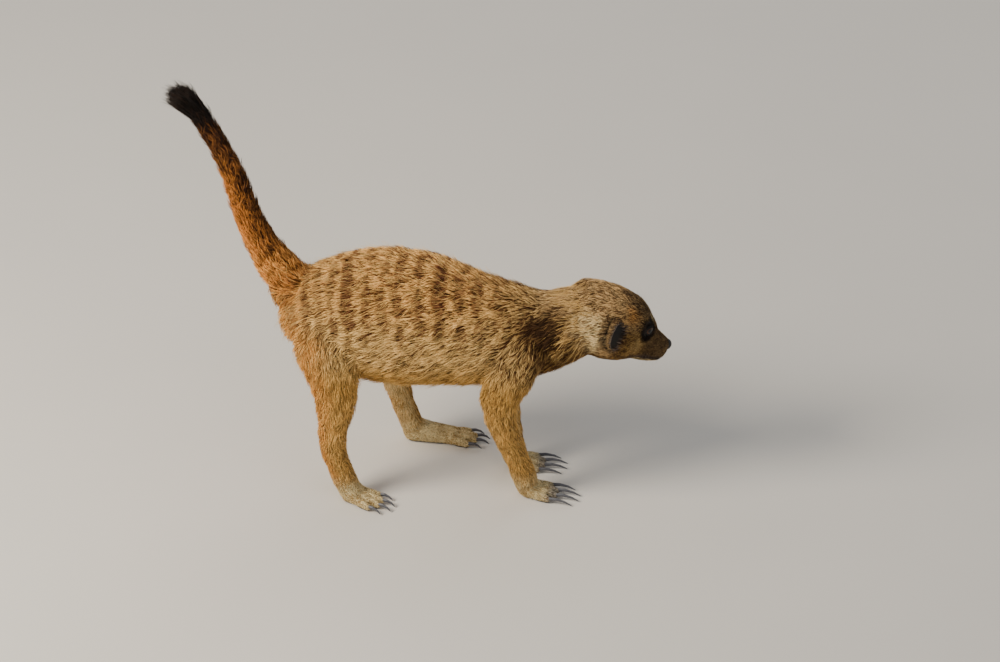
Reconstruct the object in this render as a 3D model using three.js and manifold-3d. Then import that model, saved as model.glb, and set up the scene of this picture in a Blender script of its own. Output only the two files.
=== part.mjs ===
// A meerkat on four feet, tail raised and head held low: a still, life-size figure.
// Millimetres. +X is ahead of the animal, +Y its left and +Z up, and the feet stand on z = 0.
// Every surface is that of the coat, out to the tips of the hair.
import * as THREE from "three";
import { mergeVertices } from "three/addons/utils/BufferGeometryUtils.js";
import Module from "manifold-3d";

const wasm = await Module();
wasm.setup();

// ---------------------------------------------------------------- driving dimensions

const GAP = 0.3; // between each node and the next
const FLOOR = { at: [0, 0, 0], facing: [0, 0, 1] };
const BLOCK = 400; // side of the blocks that cut the body

// A station is [x, y, z, side, up, down]: a point of a path, and there the section's half width
// and its height above and below that point.
const TRUNK = [
  [-107, 0, 141, 14, 18, 18],
  [-98, 0, 137, 23, 31, 26],
  [-86, 0, 133.5, 31, 38.5, 34],
  [-70, 0, 131, 36.5, 45, 43],
  [-50, 0, 130, 40, 51.5, 48],
  [-28, 0, 129.5, 42, 54.5, 50],
  [-5, 0, 128.5, 42, 53.5, 49],
  [18, 0, 126.5, 38.5, 47.5, 45],
  [40, 0, 125, 35, 42.5, 42],
  [60, 0, 125, 31.5, 38, 38],
  [78, 0, 127, 28, 33, 33],
  [92, 1, 130.5, 25.5, 29.5, 28],
  [106, 5, 135, 24, 27, 26],
  [118, 8, 138, 19, 19, 21],
];
const TRUNK_BLUNT = [9, 0];

// Each cut is a set of planes, and what lies on the side that all of them face is parted off.
const HIGH = { at: [0, 0, 92], facing: [0, 0, 1] };
const HEAD_CUT = [{ at: [106.5, 5.5, 141.5], facing: [0.89, 0.27, -0.1] }, HIGH];
const NECK_CUT = [{ at: [84, 0, 128], facing: [1, 0.08, 0.25] }, HIGH];
const TAIL_CUTS = [
  [{ at: [-152, 0, 263], facing: [-0.43, 0, 0.9] }],
  [{ at: [-133, 0, 212], facing: [-0.33, 0, 0.94] }],
  [{ at: [-104, 0, 158], facing: [-0.6, 0, 0.8] }],
];
const MID_BODY = 34; // between the forefeet and the hind feet

const TAIL = [
  [-82, 0, 138, 20, 22, 24],
  [-98, 0, 150, 17.5, 19, 21],
  [-111, 0, 167, 14, 14.5, 15.5],
  [-124, 0, 189, 11.8, 11.6, 12],
  [-133.5, 0, 214, 10.4, 10.4, 10.4],
  [-141, 0, 240, 9.2, 9.2, 9.2],
  [-150.5, 0, 262, 8.4, 8.4, 8.4],
  [-161, 0, 281, 7.9, 7.9, 7.9],
  [-169, 0, 295, 7.6, 7.6, 7.6],
  [-177, 0, 301, 6, 6, 6],
];
const TAIL_NODES = ["tail_tip", "tail_middle", "tail_base"];
const TUFT = {
  locks: 11,
  root: [-170, 0, 296],
  tip: [-188, 0, 299],
  ring: 5,
  spread: 8,
  width: 3.6,
  arch: [3.5, 0, 4],
  uneven: 9.4,
};
const GOLDEN_ANGLE = Math.PI * (3 - Math.sqrt(5));

const SHOULDER = [
  { at: [62, 19, 108], facing: [0, 0.8, -0.6] },
  { at: [36, 0, 120], facing: [1, 0, 0] },
  { at: [88, 0, 110], facing: [-1, 0, -0.3] },
];
const ELBOW = { at: [54, 26, 72], facing: [0.1, 0, -1] };
const FORE_TOP = [
  [70, 20, 138, 14, 20, 20],
  [62, 24.5, 112, 14, 21, 20],
  [53, 26.5, 88, 12, 17, 16],
];
const FORE_RIGHT = {
  leg: [
    ...FORE_TOP,
    [54, 26, 68, 10, 12, 12.5],
    [59, 23, 48, 8.8, 10, 10.5],
    [66, 20.5, 29, 8.3, 9.2, 9.2],
    [71, 19.5, 12, 9, 9.5, 10],
    [73, 19.5, 5, 9, 8, 8],
  ],
  root: SHOULDER,
  bend: ELBOW,
  ankle: 14,
};
const FORE_LEFT = {
  leg: [
    ...FORE_TOP,
    [51, 24, 68, 10, 12, 12.5],
    [52, 20, 48, 8.8, 10, 10.5],
    [55, 16.5, 29, 8.3, 9.2, 9.2],
    [58, 15, 12, 9, 9.5, 10],
    [60, 15, 5, 9, 8, 8],
  ],
  root: SHOULDER,
  bend: ELBOW,
  ankle: 14,
};
const HIND_RIGHT = {
  leg: [
    [-76, 19, 130, 14, 23, 25],
    [-72, 26, 116, 15, 25, 27],
    [-68, 31, 100, 14, 22, 21.5],
    [-65, 34, 84, 12.5, 18.5, 17],
    [-65, 35.5, 70, 11, 15, 14.5],
    [-66, 36.5, 56, 9.6, 11.5, 11.5],
    [-67, 37.5, 43, 8.8, 10.5, 11],
    [-63, 39.5, 29, 8.2, 9, 9.5],
    [-56, 42, 15, 8.5, 8, 9],
    [-51, 43.5, 7, 9, 6, 7],
  ],
  root: [
    { at: [-68, 22, 108], facing: [0, 0.75, -0.66] },
    { at: [-43, 0, 100], facing: [-1, 0, 0.15] },
  ],
  bend: { at: [-65, 35, 77], facing: [0, 0.1, -1] },
  ankle: 15,
};
const HIND_LEFT = {
  leg: [
    [-76, 19, 130, 14, 23, 25],
    [-66, 26, 114, 15, 25, 24],
    [-54, 31, 98, 13.5, 21, 19],
    [-43, 34, 82, 12, 16.5, 15.5],
    [-36, 36, 67, 10.8, 13, 12.5],
    [-32, 37.5, 52, 9.4, 10.5, 10.5],
    [-28, 39, 34, 8.2, 8.8, 9],
    [-22, 40, 17, 8, 8.5, 9],
    [-20, 41, 8, 8, 8, 8],
  ],
  root: [
    { at: [-68, 22, 108], facing: [0, 0.75, -0.66] },
    { at: [-31, 0, 100], facing: [-1, 0, -0.5] },
  ],
  bend: { at: [-39, 35, 75], facing: [0.2, 0, -1] },
  ankle: 16,
};

// Each foot in its own frame: +X along the foot, the origin on the floor under the wrist or hock.
const FORE_FOOT = {
  sole: [
    [-1, 0, 17, 8.6, 8.6, 9.2],
    [1.5, 0, 10, 9.2, 7, 9.5],
    [6, 0, 6.5, 9.6, 5, 9.6],
    [11.5, 0, 5.5, 8.8, 4, 8.6],
  ],
  toes: [
    { y: -9.6, length: 21 },
    { y: -3.3, length: 25 },
    { y: 3.3, length: 25 },
    { y: 9.6, length: 20 },
  ],
  claw: 15,
};
const HIND_FOOT = {
  sole: [
    [-9, 0, 22, 8, 8, 8.6],
    [-4, 0, 14, 8.6, 7, 8.6],
    [3, 0, 8, 9.2, 5.6, 11.4],
    [10, 0, 5.5, 8.8, 4, 8.8],
  ],
  toes: [
    { y: -9.3, length: 21 },
    { y: -3.2, length: 26 },
    { y: 3.2, length: 26 },
    { y: 9.3, length: 21 },
  ],
  claw: 8,
};
const FLAT_HIND_FOOT = {
  ...HIND_FOOT,
  heel: 5,
  sole: [
    [-9, 0, 8, 6.8, 8, 9.4],
    [0, 0, 9.5, 8.2, 8.5, 11],
    [14, 0, 8, 8.8, 6, 9.4],
    [28, 0, 6.5, 9.2, 4.8, 8],
    [34, 0, 5.5, 8.4, 4, 7.4],
  ],
  toes: HIND_FOOT.toes.map(({ y, length }) => ({ y, length: length + 22 })),
};
const TOE_ROOT = 17; // how far behind its tip a toe's root lies

// The head in its own frame: +X along the face, the origin in the middle of the skull.
const HEAD_AT = [119, 9, 137.5];
const HEAD_PITCH = 22;
const HEAD_YAW = 17;
const SKULL = [
  [-27, 0, 2, 20, 17, 20],
  [-17, 0, 1, 25.5, 23, 26],
  [-5, 0, 0, 28, 26, 29],
  [8, 0, -1, 28, 26.5, 28.5],
  [19, 0, -2, 25.5, 25.5, 27.5],
  [28, 0, -3.5, 21, 22, 25],
  [36, 0, -5.5, 15.5, 16, 21.5],
  [43, 0, -8, 12, 11.5, 17.5],
  [50, 0, -9.5, 9.7, 9.2, 14.6],
  [55, 0, -10.3, 8.2, 7.6, 12],
  [58.5, 0, -10.8, 6.4, 5.8, 8.6],
];
const SKULL_BLUNT = [8, 3];
// Rounds and hollows of the face: a place, how far it reaches, and how far it stands out.
const FACE = [
  { at: [32, 15, 6], reach: 6.5, raise: -2 },
  { at: [29, 12, 13], reach: 6, raise: 1.3 },
  { at: [21, 21, -10], reach: 10, raise: 1.8 },
  { at: [48, 9, -12.5], reach: 5, raise: 1 },
  { at: [39, 5, 4], reach: 6, raise: -1 },
];
const EYE = { at: [32.6, 10.4, 5.8], radius: 5, facing: [0.62, 0.75, 0.16] };
const LIDS = { width: 4.9, height: 4.1, thick: 1.25, forward: 2.6 };
const EAR = { at: [7, 25, 2.6], long: 7, tall: 12.5, deep: 7.2, lean: 14, wall: 1.19, open: 0.45 };
const NOSE = { at: [56.8, 0, -7.2], size: [3.9, 4.6, 4] };
const NOSTRIL = { at: [59.6, 2.4, -7.6], size: [2.2, 1, 1.1] };
// The line of the mouth from under the nose to its corner, then down behind the chin.
const MOUTH = [
  [70, -14.4],
  [57, -15.6],
  [50, -17.6],
  [43, -19.4],
  [36.5, -18.6],
  [32, -22],
  [28, -42],
];
const MOUTH_SLIT = 0.5;
const MOUTH_STEPS = 14;
const HEAD_WIDE = 80; // more than the widest part of the head
const LIP = { points: 5, wide: 3, proud: 0.6 };

// ---------------------------------------------------------------- materials

const finish = (name, color, roughness) =>
  new THREE.MeshStandardMaterial({ name, color, roughness, metalness: 0 });
const coat = (name, color) => finish(name, color, 0.9);
const BODY_COAT = coat("body_coat", 0xb08a5a);
const HEAD_COAT = coat("head_coat", 0x9a7f5c);
const LEG_COAT = coat("leg_coat", 0xc09a60);
const TAIL_COAT = coat("tail_coat", 0x9c5a2a);
const BLACK_COAT = coat("tail_tip_coat", 0x1d1713);
const EAR_SKIN = coat("ear_skin", 0x2a2422);
const EYE_GLOSS = finish("eye", 0x20140c, 0.12);
const NOSE_SKIN = finish("nose_skin", 0x2b2421, 0.5);
const CLAW_HORN = finish("claw_horn", 0x3b3a3c, 0.4);

// ---------------------------------------------------------------- shapes

const point = ([x, y, z]) => new THREE.Vector3(x, y, z);
const OVER_BACK = point([0, 0, 1]);
const OVER_LEG = point([1, 0, 1]).normalize();
const BLUNT_STEPS = [20, 52];

// Ring places along a length, closer together round each blunt end, with each ring's share of
// the full section.
function ringPlaces(length, rings, [near, far]) {
  const step = (length - near - far) / rings;
  const rounding = BLUNT_STEPS.map((degrees) => {
    const turn = THREE.MathUtils.degToRad(degrees);
    return { inset: 1 - Math.cos(turn), share: Math.sin(turn) };
  });
  const places = Array.from({ length: rings + 1 }, (_, i) => ({ distance: near + step * i, share: 1 }));
  const start = rounding.map(({ inset, share }) => ({ distance: near * inset, share }));
  const end = rounding.map(({ inset, share }) => ({ distance: length - far * inset, share }));
  if (near) places.unshift(...start);
  if (far) places.push(...end.reverse());
  return places;
}

// A closed body of egg-shaped rings along a smooth path through stations. `over` points to the
// upper side, `blunt` is the length over which each end is rounded, and `shape` may move a point.
function sweep(stations, { over, around, rings, blunt = [0, 0], grow = 0, shape }) {
  const path = new THREE.CatmullRomCurve3(stations.map(point));
  const sizes = new THREE.CatmullRomCurve3(stations.map((station) => point(station.slice(3))));
  const length = path.getLength();
  const frames = ringPlaces(length, rings, blunt).map(({ distance, share }) => {
    const t = path.getUtoTmapping(Math.min(1, distance / length));
    const ahead = path.getTangent(t);
    const side = over.clone().cross(ahead).normalize();
    const size = sizes.getPoint(t).addScalar(grow).multiplyScalar(share);
    return { centre: path.getPoint(t), side, up: ahead.cross(side), size };
  });
  const geometry = new THREE.CylinderGeometry(1, 1, 1, around, frames.length - 1);
  const position = geometry.attributes.position;
  for (let i = 0; i < position.count; i++) {
    const ring = frames[Math.round((0.5 - position.getY(i)) * (frames.length - 1))];
    const across = position.getX(i);
    const above = position.getZ(i);
    const outward = new THREE.Vector3()
      .addScaledVector(ring.side, across * ring.size.x)
      .addScaledVector(ring.up, above * (above > 0 ? ring.size.y : ring.size.z));
    const place = ring.centre.clone().add(outward);
    if (shape) shape(place, outward.normalize());
    position.setXYZ(i, ...place);
  }
  return geometry;
}

const mirrorStations = (stations, side) => stations.map(([x, y, ...rest]) => [x, y * side, ...rest]);

function ellipsoid([x, y, z], [length, width, height], around = 12, rings = 8) {
  return new THREE.SphereGeometry(1, around, rings).scale(length, width, height).translate(x, y, z);
}

// ---------------------------------------------------------------- solids

function solidOf(geometry) {
  const bare = geometry.clone();
  bare.deleteAttribute("normal");
  bare.deleteAttribute("uv");
  const merged = mergeVertices(bare, 1e-3);
  return new wasm.Manifold(
    new wasm.Mesh({
      numProp: 3,
      vertProperties: new Float32Array(merged.attributes.position.array),
      triVerts: new Uint32Array(merged.index.array),
    }),
  );
}

const union = (solids) => solids.reduce((whole, next) => whole.add(next));
const bySize = (solid) => solid.decompose().sort((a, b) => b.volume() - a.volume());

// What lies more than `clear` beyond a plane, on the side that it faces.
function halfSpace({ at, facing }, clear) {
  const block = new THREE.BoxGeometry(BLOCK, BLOCK, BLOCK).translate(0, 0, BLOCK / 2 + clear);
  const turn = new THREE.Quaternion().setFromUnitVectors(point([0, 0, 1]), point(facing).normalize());
  return solidOf(block.applyQuaternion(turn).translate(...at));
}

// Parts a solid along a cut, and gives the piece beyond it and the rest, a gap apart.
function cut(solid, planes) {
  const region = (clear) =>
    planes.map((plane) => halfSpace(plane, clear)).reduce((whole, next) => whole.intersect(next));
  return [solid.intersect(region(GAP / 2)), solid.subtract(region(-GAP / 2))];
}

// The largest body of a solid becomes a node.
function node(name, solid, material) {
  const { vertProperties, triVerts } = bySize(solid)[0].getMesh();
  const geometry = new THREE.BufferGeometry();
  geometry.setAttribute("position", new THREE.BufferAttribute(new Float32Array(vertProperties), 3));
  geometry.setIndex(new THREE.BufferAttribute(new Uint32Array(triVerts), 1));
  geometry.computeVertexNormals();
  const mesh = new THREE.Mesh(geometry, material);
  mesh.name = name;
  return mesh;
}

// ---------------------------------------------------------------- head

const headFrame = new THREE.Object3D();
headFrame.position.set(...HEAD_AT);
headFrame.rotation.set(0, THREE.MathUtils.degToRad(HEAD_PITCH), THREE.MathUtils.degToRad(HEAD_YAW), "ZYX");
headFrame.updateMatrix();
const headSolid = (geometry) => solidOf(geometry.applyMatrix4(headFrame.matrix));

function shapeFace(place, outward) {
  for (const { at, reach, raise } of FACE) {
    const apart = Math.hypot(place.x - at[0], Math.abs(place.y) - at[1], place.z - at[2]);
    place.addScaledVector(outward, raise * Math.exp(-((apart / reach) ** 2)));
  }
}

function skull(grow) {
  const form = { over: OVER_BACK, around: 22, rings: 13, blunt: SKULL_BLUNT, shape: shapeFace };
  return headSolid(sweep(SKULL, { ...form, grow }));
}

// A wall across the head along the line of the mouth.
function mouthWall(points, thick) {
  const line = new THREE.SplineCurve(points.map(([x, z]) => new THREE.Vector2(x, z)));
  const edge = (offset) =>
    Array.from({ length: MOUTH_STEPS + 1 }, (_, i) => {
      const { x, y } = line.getTangent(i / MOUTH_STEPS);
      return line.getPoint(i / MOUTH_STEPS).add(new THREE.Vector2(-y, x).multiplyScalar(offset));
    });
  const profile = new THREE.Shape([...edge(thick / 2), ...edge(-thick / 2).reverse()]);
  const wall = new THREE.ExtrudeGeometry(profile, { depth: HEAD_WIDE, bevelEnabled: false });
  return headSolid(wall.translate(0, 0, -HEAD_WIDE / 2).rotateX(Math.PI / 2));
}

const eyeball = (side, grow = 0) => {
  const [x, y, z] = EYE.at;
  return headSolid(ellipsoid([x, y * side, z], Array(3).fill(EYE.radius + grow), 12, 9));
};

// The rim of both lids, a ring laid round the front of the eye.
function lids(side) {
  const [x, y, z] = EYE.at;
  const { width, height, thick, forward } = LIDS;
  const facing = point(EYE.facing).normalize();
  facing.y *= side;
  const ring = new THREE.TorusGeometry(1, thick / width, 5, 14).scale(width, height, width);
  const turn = new THREE.Matrix4().lookAt(facing, new THREE.Vector3(), OVER_BACK);
  const centre = point([x, y * side, z]).addScaledVector(facing, forward);
  return headSolid(ring.applyMatrix4(turn).translate(...centre));
}

// A low crescent-shaped ear: a flattened egg with its cup hollowed from the front.
function ear(side) {
  const { at, long, tall, deep, lean, wall, open } = EAR;
  const egg = (forward, thinner) => {
    const size = [long - thinner, deep - thinner, tall - thinner];
    const form = ellipsoid([forward * long, side * forward * deep, 0], size, 12, 10);
    form.rotateZ(THREE.MathUtils.degToRad(lean * side));
    return headSolid(form.translate(at[0], at[1] * side, at[2]));
  };
  return egg(0, 0).subtract(egg(open, wall));
}

function noseSolid(grow) {
  return headSolid(ellipsoid(NOSE.at, NOSE.size.map((size) => size + grow)));
}

// The head's flesh, with lids and lips, before the eyes and the nose are set in it.
function headFlesh() {
  const lips = mouthWall(MOUTH.slice(0, LIP.points), LIP.wide).intersect(skull(LIP.proud));
  return union([skull(0), lids(1), lids(-1), lips]);
}

function nostril(side) {
  const [x, y, z] = NOSTRIL.at;
  return headSolid(ellipsoid([x, y * side, z], NOSTRIL.size, 8, 6));
}

function makeHead(flesh) {
  const eyes = [eyeball(1, GAP), eyeball(-1, GAP)];
  const sockets = union([...eyes, noseSolid(GAP), mouthWall(MOUTH, MOUTH_SLIT)]);
  const [head, jaw] = bySize(flesh.subtract(sockets));
  const pair = (name, build, material) => [
    node(`${name}_left`, build(1), material),
    node(`${name}_right`, build(-1), material),
  ];
  return [
    node("head", head, HEAD_COAT),
    node("jaw", jaw, HEAD_COAT),
    node("nose", noseSolid(0).subtract(nostril(1)).subtract(nostril(-1)), NOSE_SKIN),
    ...pair("eye", (side) => eyeball(side), EYE_GLOSS),
    ...pair("ear", (side) => ear(side).subtract(skull(GAP)), EAR_SKIN),
  ];
}

// ---------------------------------------------------------------- trunk and tail

function trunk() {
  return solidOf(sweep(TRUNK, { over: OVER_BACK, around: 20, rings: 18, blunt: TRUNK_BLUNT }));
}

// One lock of the tail's tuft: a flat blade that leaves the tail's end, bows by `arch` and
// narrows to its tip. Each turns by the golden angle from the last, so they lie evenly.
function tuftLock(index) {
  const { locks, root, tip, ring, spread, width, arch, uneven } = TUFT;
  const turn = index * GOLDEN_ANGLE;
  const out = Math.sqrt((index + 0.5) / locks);
  const vary = THREE.MathUtils.seededRandom(index + 1) - 0.5;
  const start = point([0.8 * Math.cos(turn), Math.sin(turn), 0.6 * Math.cos(turn)]);
  start.multiplyScalar(ring * out).add(point(root));
  const end = point([(uneven / spread) * vary, Math.sin(turn), Math.cos(turn)]);
  end.multiplyScalar(spread * out).add(point(tip));
  const middle = start.clone().lerp(end, 0.5).add(point(arch));
  const beyond = middle.clone().lerp(end, 0.6);
  const stations = [
    [...start, width * 0.7, 2, 2],
    [...middle, width, 1.7, 1.7],
    [...beyond, width * 0.7, 1.2, 1.2],
    [...end, 0.4, 0.3, 0.3],
  ];
  return sweep(stations, { over: OVER_LEG, around: 5, rings: 4 });
}

function tail() {
  const stem = sweep(TAIL, { over: OVER_LEG, around: 12, rings: 16, blunt: [0, 5] });
  const locks = Array.from({ length: TUFT.locks }, (_, i) => tuftLock(i));
  return union([stem, ...locks].map(solidOf));
}

// ---------------------------------------------------------------- legs and feet

function toe({ y, length }) {
  const back = length - TOE_ROOT;
  return sweep(
    [
      [back, y * 0.6, 6, 3.2, 3, 4.6],
      [length - 7, y * 0.86, 5.4, 2.6, 2.8, 6.6],
      [length, y, 3.6, 2.5, 2.5, 4],
    ],
    { over: OVER_BACK, around: 6, rings: 3, blunt: [0, 2.4] },
  );
}

function claw({ y, length }, reach, grow = 0) {
  return sweep(
    [
      [length - 2, y * 0.98, 4.2, 1.2, 1.5, 1.5],
      [length + reach * 0.45, y * 1.04, 4.4, 1, 1.2, 1.2],
      [length + reach, y * 1.06, 1.0, 0.35, 0.4, 0.4],
    ],
    { over: OVER_BACK, around: 5, rings: 3, grow },
  );
}

// The place of a foot: it stands at `at` and heads `turn` degrees to the left.
function footFrame({ at, turn }) {
  const frame = new THREE.Object3D();
  frame.position.set(at[0], at[1], 0);
  frame.rotation.z = THREE.MathUtils.degToRad(turn);
  frame.updateMatrix();
  return frame.matrix;
}

// A whole leg with its foot, cut flat along the floor.
function leg({ shape, foot, side, ...place }) {
  const frame = footFrame(place);
  const stations = mirrorStations(shape.leg, side);
  const limb = sweep(stations, { over: OVER_LEG, around: 12, rings: 11, blunt: [12, 0] });
  const sole = sweep(foot.sole, { over: OVER_LEG, around: 10, rings: 5, blunt: [foot.heel ?? 0, 4] });
  const pieces = [sole, ...foot.toes.map(toe)].map((geometry) => geometry.applyMatrix4(frame));
  return union([limb, ...pieces].map(solidOf)).intersect(halfSpace(FLOOR, 0));
}

// The nodes of one leg, taken off the body: what is left of the body comes last.
function partLeg(body, { name, hand, side, shape, foot, ...place }) {
  const mirrored = (planes) =>
    planes.map(({ at, facing }) => ({
      at: [at[0], at[1] * side, at[2]],
      facing: [facing[0], facing[1] * side, facing[2]],
    }));
  const ownSide = { at: [0, 0, 0], facing: [0, side, 0] };
  const ownEnd = { at: [MID_BODY, 0, 0], facing: [name === "fore" ? 1 : -1, 0, 0] };
  const [below, trunkAndThigh] = cut(body, [...mirrored([shape.bend]), ownSide, ownEnd]);
  const [thigh, rest] = cut(trunkAndThigh, [...mirrored(shape.root), ownSide]);
  const [paw, shank] = cut(below, [{ at: [0, 0, shape.ankle], facing: [0, 0, -1] }]);
  const frame = footFrame(place);
  const clawSolids = (grow) =>
    foot.toes.map((each) => solidOf(claw(each, foot.claw, grow).applyMatrix4(frame)));
  const nodes = [
    node(`${name}leg_${hand}_upper`, thigh, BODY_COAT),
    node(`${name}leg_${hand}_lower`, shank, LEG_COAT),
    node(`${name}foot_${hand}`, paw.subtract(union(clawSolids(GAP))), LEG_COAT),
    ...clawSolids(0).map((solid, i) => node(`${name}foot_${hand}_claw_${i + 1}`, solid, CLAW_HORN)),
  ];
  return [nodes, rest];
}

const LEGS = [
  { name: "fore", hand: "left", side: 1, shape: FORE_LEFT, foot: FORE_FOOT, at: [57, 15], turn: 5 },
  { name: "fore", hand: "right", side: -1, shape: FORE_RIGHT, foot: FORE_FOOT, at: [71, -19.5], turn: -4 },
  { name: "hind", hand: "left", side: 1, shape: HIND_LEFT, foot: FLAT_HIND_FOOT, at: [-20, 41], turn: 2 },
  { name: "hind", hand: "right", side: -1, shape: HIND_RIGHT, foot: HIND_FOOT, at: [-53, -44], turn: -18 },
];

// ---------------------------------------------------------------- the whole animal

// The body is made whole, and then parted into its nodes by thin cuts.
function makeNodes() {
  const whole = union([trunk(), headFlesh(), tail(), ...LEGS.map(leg)]);
  const [head, headless] = cut(whole, HEAD_CUT);
  const [neck, neckless] = cut(headless, NECK_CUT);
  const nodes = [...makeHead(head), node("neck", neck, BODY_COAT)];
  let rest = neckless;
  TAIL_CUTS.forEach((planes, i) => {
    const [length, shorter] = cut(rest, planes);
    nodes.push(node(TAIL_NODES[i], length, i ? TAIL_COAT : BLACK_COAT));
    rest = shorter;
  });
  for (const each of LEGS) {
    const [legNodes, legless] = partLeg(rest, each);
    nodes.push(...legNodes);
    rest = legless;
  }
  return [...nodes, node("torso", rest, BODY_COAT)];
}

const meerkat = new THREE.Group();
meerkat.add(...makeNodes());

// The origin is on the floor, under the middle of the whole animal.
const box = new THREE.Box3().setFromObject(meerkat, true);
const middle = box.getCenter(new THREE.Vector3());
meerkat.position.set(-middle.x, -middle.y, -box.min.z);

export default meerkat;
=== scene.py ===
"""A still, life-size meerkat: one skin over the solids, a coat of tufts and the fine parts.

Lengths in the tables are millimetres in the animal's own frame, +X ahead and +Y to its left.
"""

import math

import bmesh
import bpy
import numpy as np
from bpy.props import FloatProperty, FloatVectorProperty, IntProperty, PointerProperty
from mathutils import Matrix, Vector
from mathutils.bvhtree import BVHTree


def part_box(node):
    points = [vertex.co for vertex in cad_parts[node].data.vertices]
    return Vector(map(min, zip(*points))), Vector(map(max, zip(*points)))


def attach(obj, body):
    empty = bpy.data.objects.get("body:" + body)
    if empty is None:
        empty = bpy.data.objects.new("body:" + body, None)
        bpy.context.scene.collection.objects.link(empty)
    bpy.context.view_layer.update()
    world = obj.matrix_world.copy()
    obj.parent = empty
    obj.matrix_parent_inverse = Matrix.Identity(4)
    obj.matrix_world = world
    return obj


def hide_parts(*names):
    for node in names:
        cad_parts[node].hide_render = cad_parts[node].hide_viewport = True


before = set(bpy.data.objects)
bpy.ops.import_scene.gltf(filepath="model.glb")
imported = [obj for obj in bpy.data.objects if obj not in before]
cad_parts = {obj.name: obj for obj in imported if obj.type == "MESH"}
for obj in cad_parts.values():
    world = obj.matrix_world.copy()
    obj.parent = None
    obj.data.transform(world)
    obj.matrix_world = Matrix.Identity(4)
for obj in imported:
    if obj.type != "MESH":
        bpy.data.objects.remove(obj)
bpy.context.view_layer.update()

bl_info = {
    "name": "Meerkat",
    "version": (1, 0, 0),
    "blender": (4, 5, 0),
    "location": "View3D > Sidebar > Meerkat",
    "description": "Skin, coat and fine parts of a still meerkat over its solids",
    "category": "Object",
}

MM = 0.001

# ---------------------------------------------------------------- the body's plan

HANDS = {"left": 1, "right": -1}
HEAD_AT = np.array([119.0, 9.0, 137.5])
HEAD_PITCH = 22
HEAD_YAW = 17
EYE_AT = np.array([32.6, 10.4, 5.8])  # in the head's frame, as are the other places on the head
EYE_RADIUS = 5.0
EYE_FACING = np.array([0.62, 0.75, 0.16])
MOUTH_LINE = ((58, -15.4), (50, -17.6), (43, -19.4), (36.5, -18.6))  # ahead and up


def head_axes():
    """The head's own axes as rows: ahead, left and up."""
    turn = Matrix.Rotation(math.radians(HEAD_YAW), 3, "Z") @ Matrix.Rotation(math.radians(HEAD_PITCH), 3, "Y")
    return np.array(turn.transposed())


HEAD_AXES = head_axes()


def body_place():
    """Where the animal's frame lies in the row's, from the middle between the eyes."""
    corners = [np.array(corner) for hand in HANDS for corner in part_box(f"eye_{hand}")]
    between = HEAD_AT + EYE_AT[0] * HEAD_AXES[0] + EYE_AT[2] * HEAD_AXES[2]
    return np.mean(corners, axis=0) / MM - between


PLACE = body_place()


def to_body(points):
    return np.asarray(points) / MM - PLACE


def from_body(points):
    return (np.asarray(points) + PLACE) * MM


def to_head(points):
    return (to_body(points) - HEAD_AT) @ HEAD_AXES.T


def from_head(points):
    return from_body(np.asarray(points) @ HEAD_AXES + HEAD_AT)


# Paths that the hair follows from root to tip: x, y, z and the half width there.
TORSO = ((112, 6, 137, 22), (92, 1, 130, 27), (78, 0, 127, 31), (60, 0, 125, 36), (40, 0, 125, 40),
         (18, 0, 127, 44), (-5, 0, 129, 48), (-28, 0, 130, 48), (-50, 0, 130, 47), (-70, 0, 131, 42),
         (-86, 0, 133, 35), (-98, 0, 136, 27), (-105, 0, 139, 20))
TAIL = ((-92, 0, 146, 19), (-111, 0, 167, 14.5), (-124, 0, 189, 12), (-133.5, 0, 214, 10.4),
        (-141, 0, 240, 9.2), (-150.5, 0, 262, 8.4), (-161, 0, 281, 7.9), (-169, 0, 295, 7.6),
        (-180, 0, 300, 7))
HEAD = ((54, 0, -9, 8), (43, 0, -8, 13), (36, 0, -6, 17), (28, 0, -3, 22), (19, 0, -1, 26), (8, 0, 0, 28),
        (-5, 0, 0, 28), (-17, 0, 0, 25), (-27, 0, 1, 20))
FORE_TOP = ((68, 22, 126, 17), (62, 24.5, 112, 18), (53, 26.5, 88, 14.5))
FORE_RIGHT = FORE_TOP + ((54, 26, 68, 11), (59, 23, 48, 9.7), (66, 20.5, 29, 8.9), (71, 19.5, 12, 9.2))
FORE_LEFT = FORE_TOP + ((51, 24, 68, 11), (52, 20, 48, 9.7), (55, 16.5, 29, 8.9), (58, 15, 12, 9.2))
HIND_RIGHT = ((-74, 22, 124, 21), (-71, 27, 114, 22), (-68, 31, 100, 19), (-65, 34, 84, 16),
              (-65, 35.5, 70, 13.5), (-66, 36.5, 56, 11), (-67, 37.5, 43, 10), (-63, 39.5, 29, 9),
              (-56, 42, 15, 8.6))
HIND_LEFT = ((-71, 22, 124, 21), (-66, 26, 114, 22), (-54, 31, 98, 18), (-43, 34, 82, 15), (-36, 36, 67, 12),
             (-32, 37.5, 52, 10.2), (-28, 39, 34, 8.7), (-22, 40, 17, 8.4))
FOREFOOT_LEFT = ((59, 15, 9, 9), (65, 15.5, 7.5, 9.2), (73, 16.2, 6, 9.5), (83, 17.2, 4.5, 9))
FOREFOOT_RIGHT = ((72, -19.5, 9, 9), (78, -20, 7.5, 9.2), (86, -20.6, 6, 9.5), (96, -21.4, 4.5, 9))
HINDFOOT_LEFT = ((-27, 40.7, 9, 8), (-14, 41.3, 9, 8.6), (4, 41.8, 7.5, 9), (22, 42.5, 5, 8.8))
HINDFOOT_RIGHT = ((-56, -43, 14, 8.5), (-50, -45, 9, 9), (-42, -47.6, 6.5, 9.3), (-30, -51.5, 4.5, 8.8))


def mirrored(path):
    return tuple((x, -y, z, half) for x, y, z, half in path)


def head_path():
    places = from_head([station[:3] for station in HEAD])
    return tuple((*place, station[3]) for place, station in zip(to_body(places), HEAD))


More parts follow.
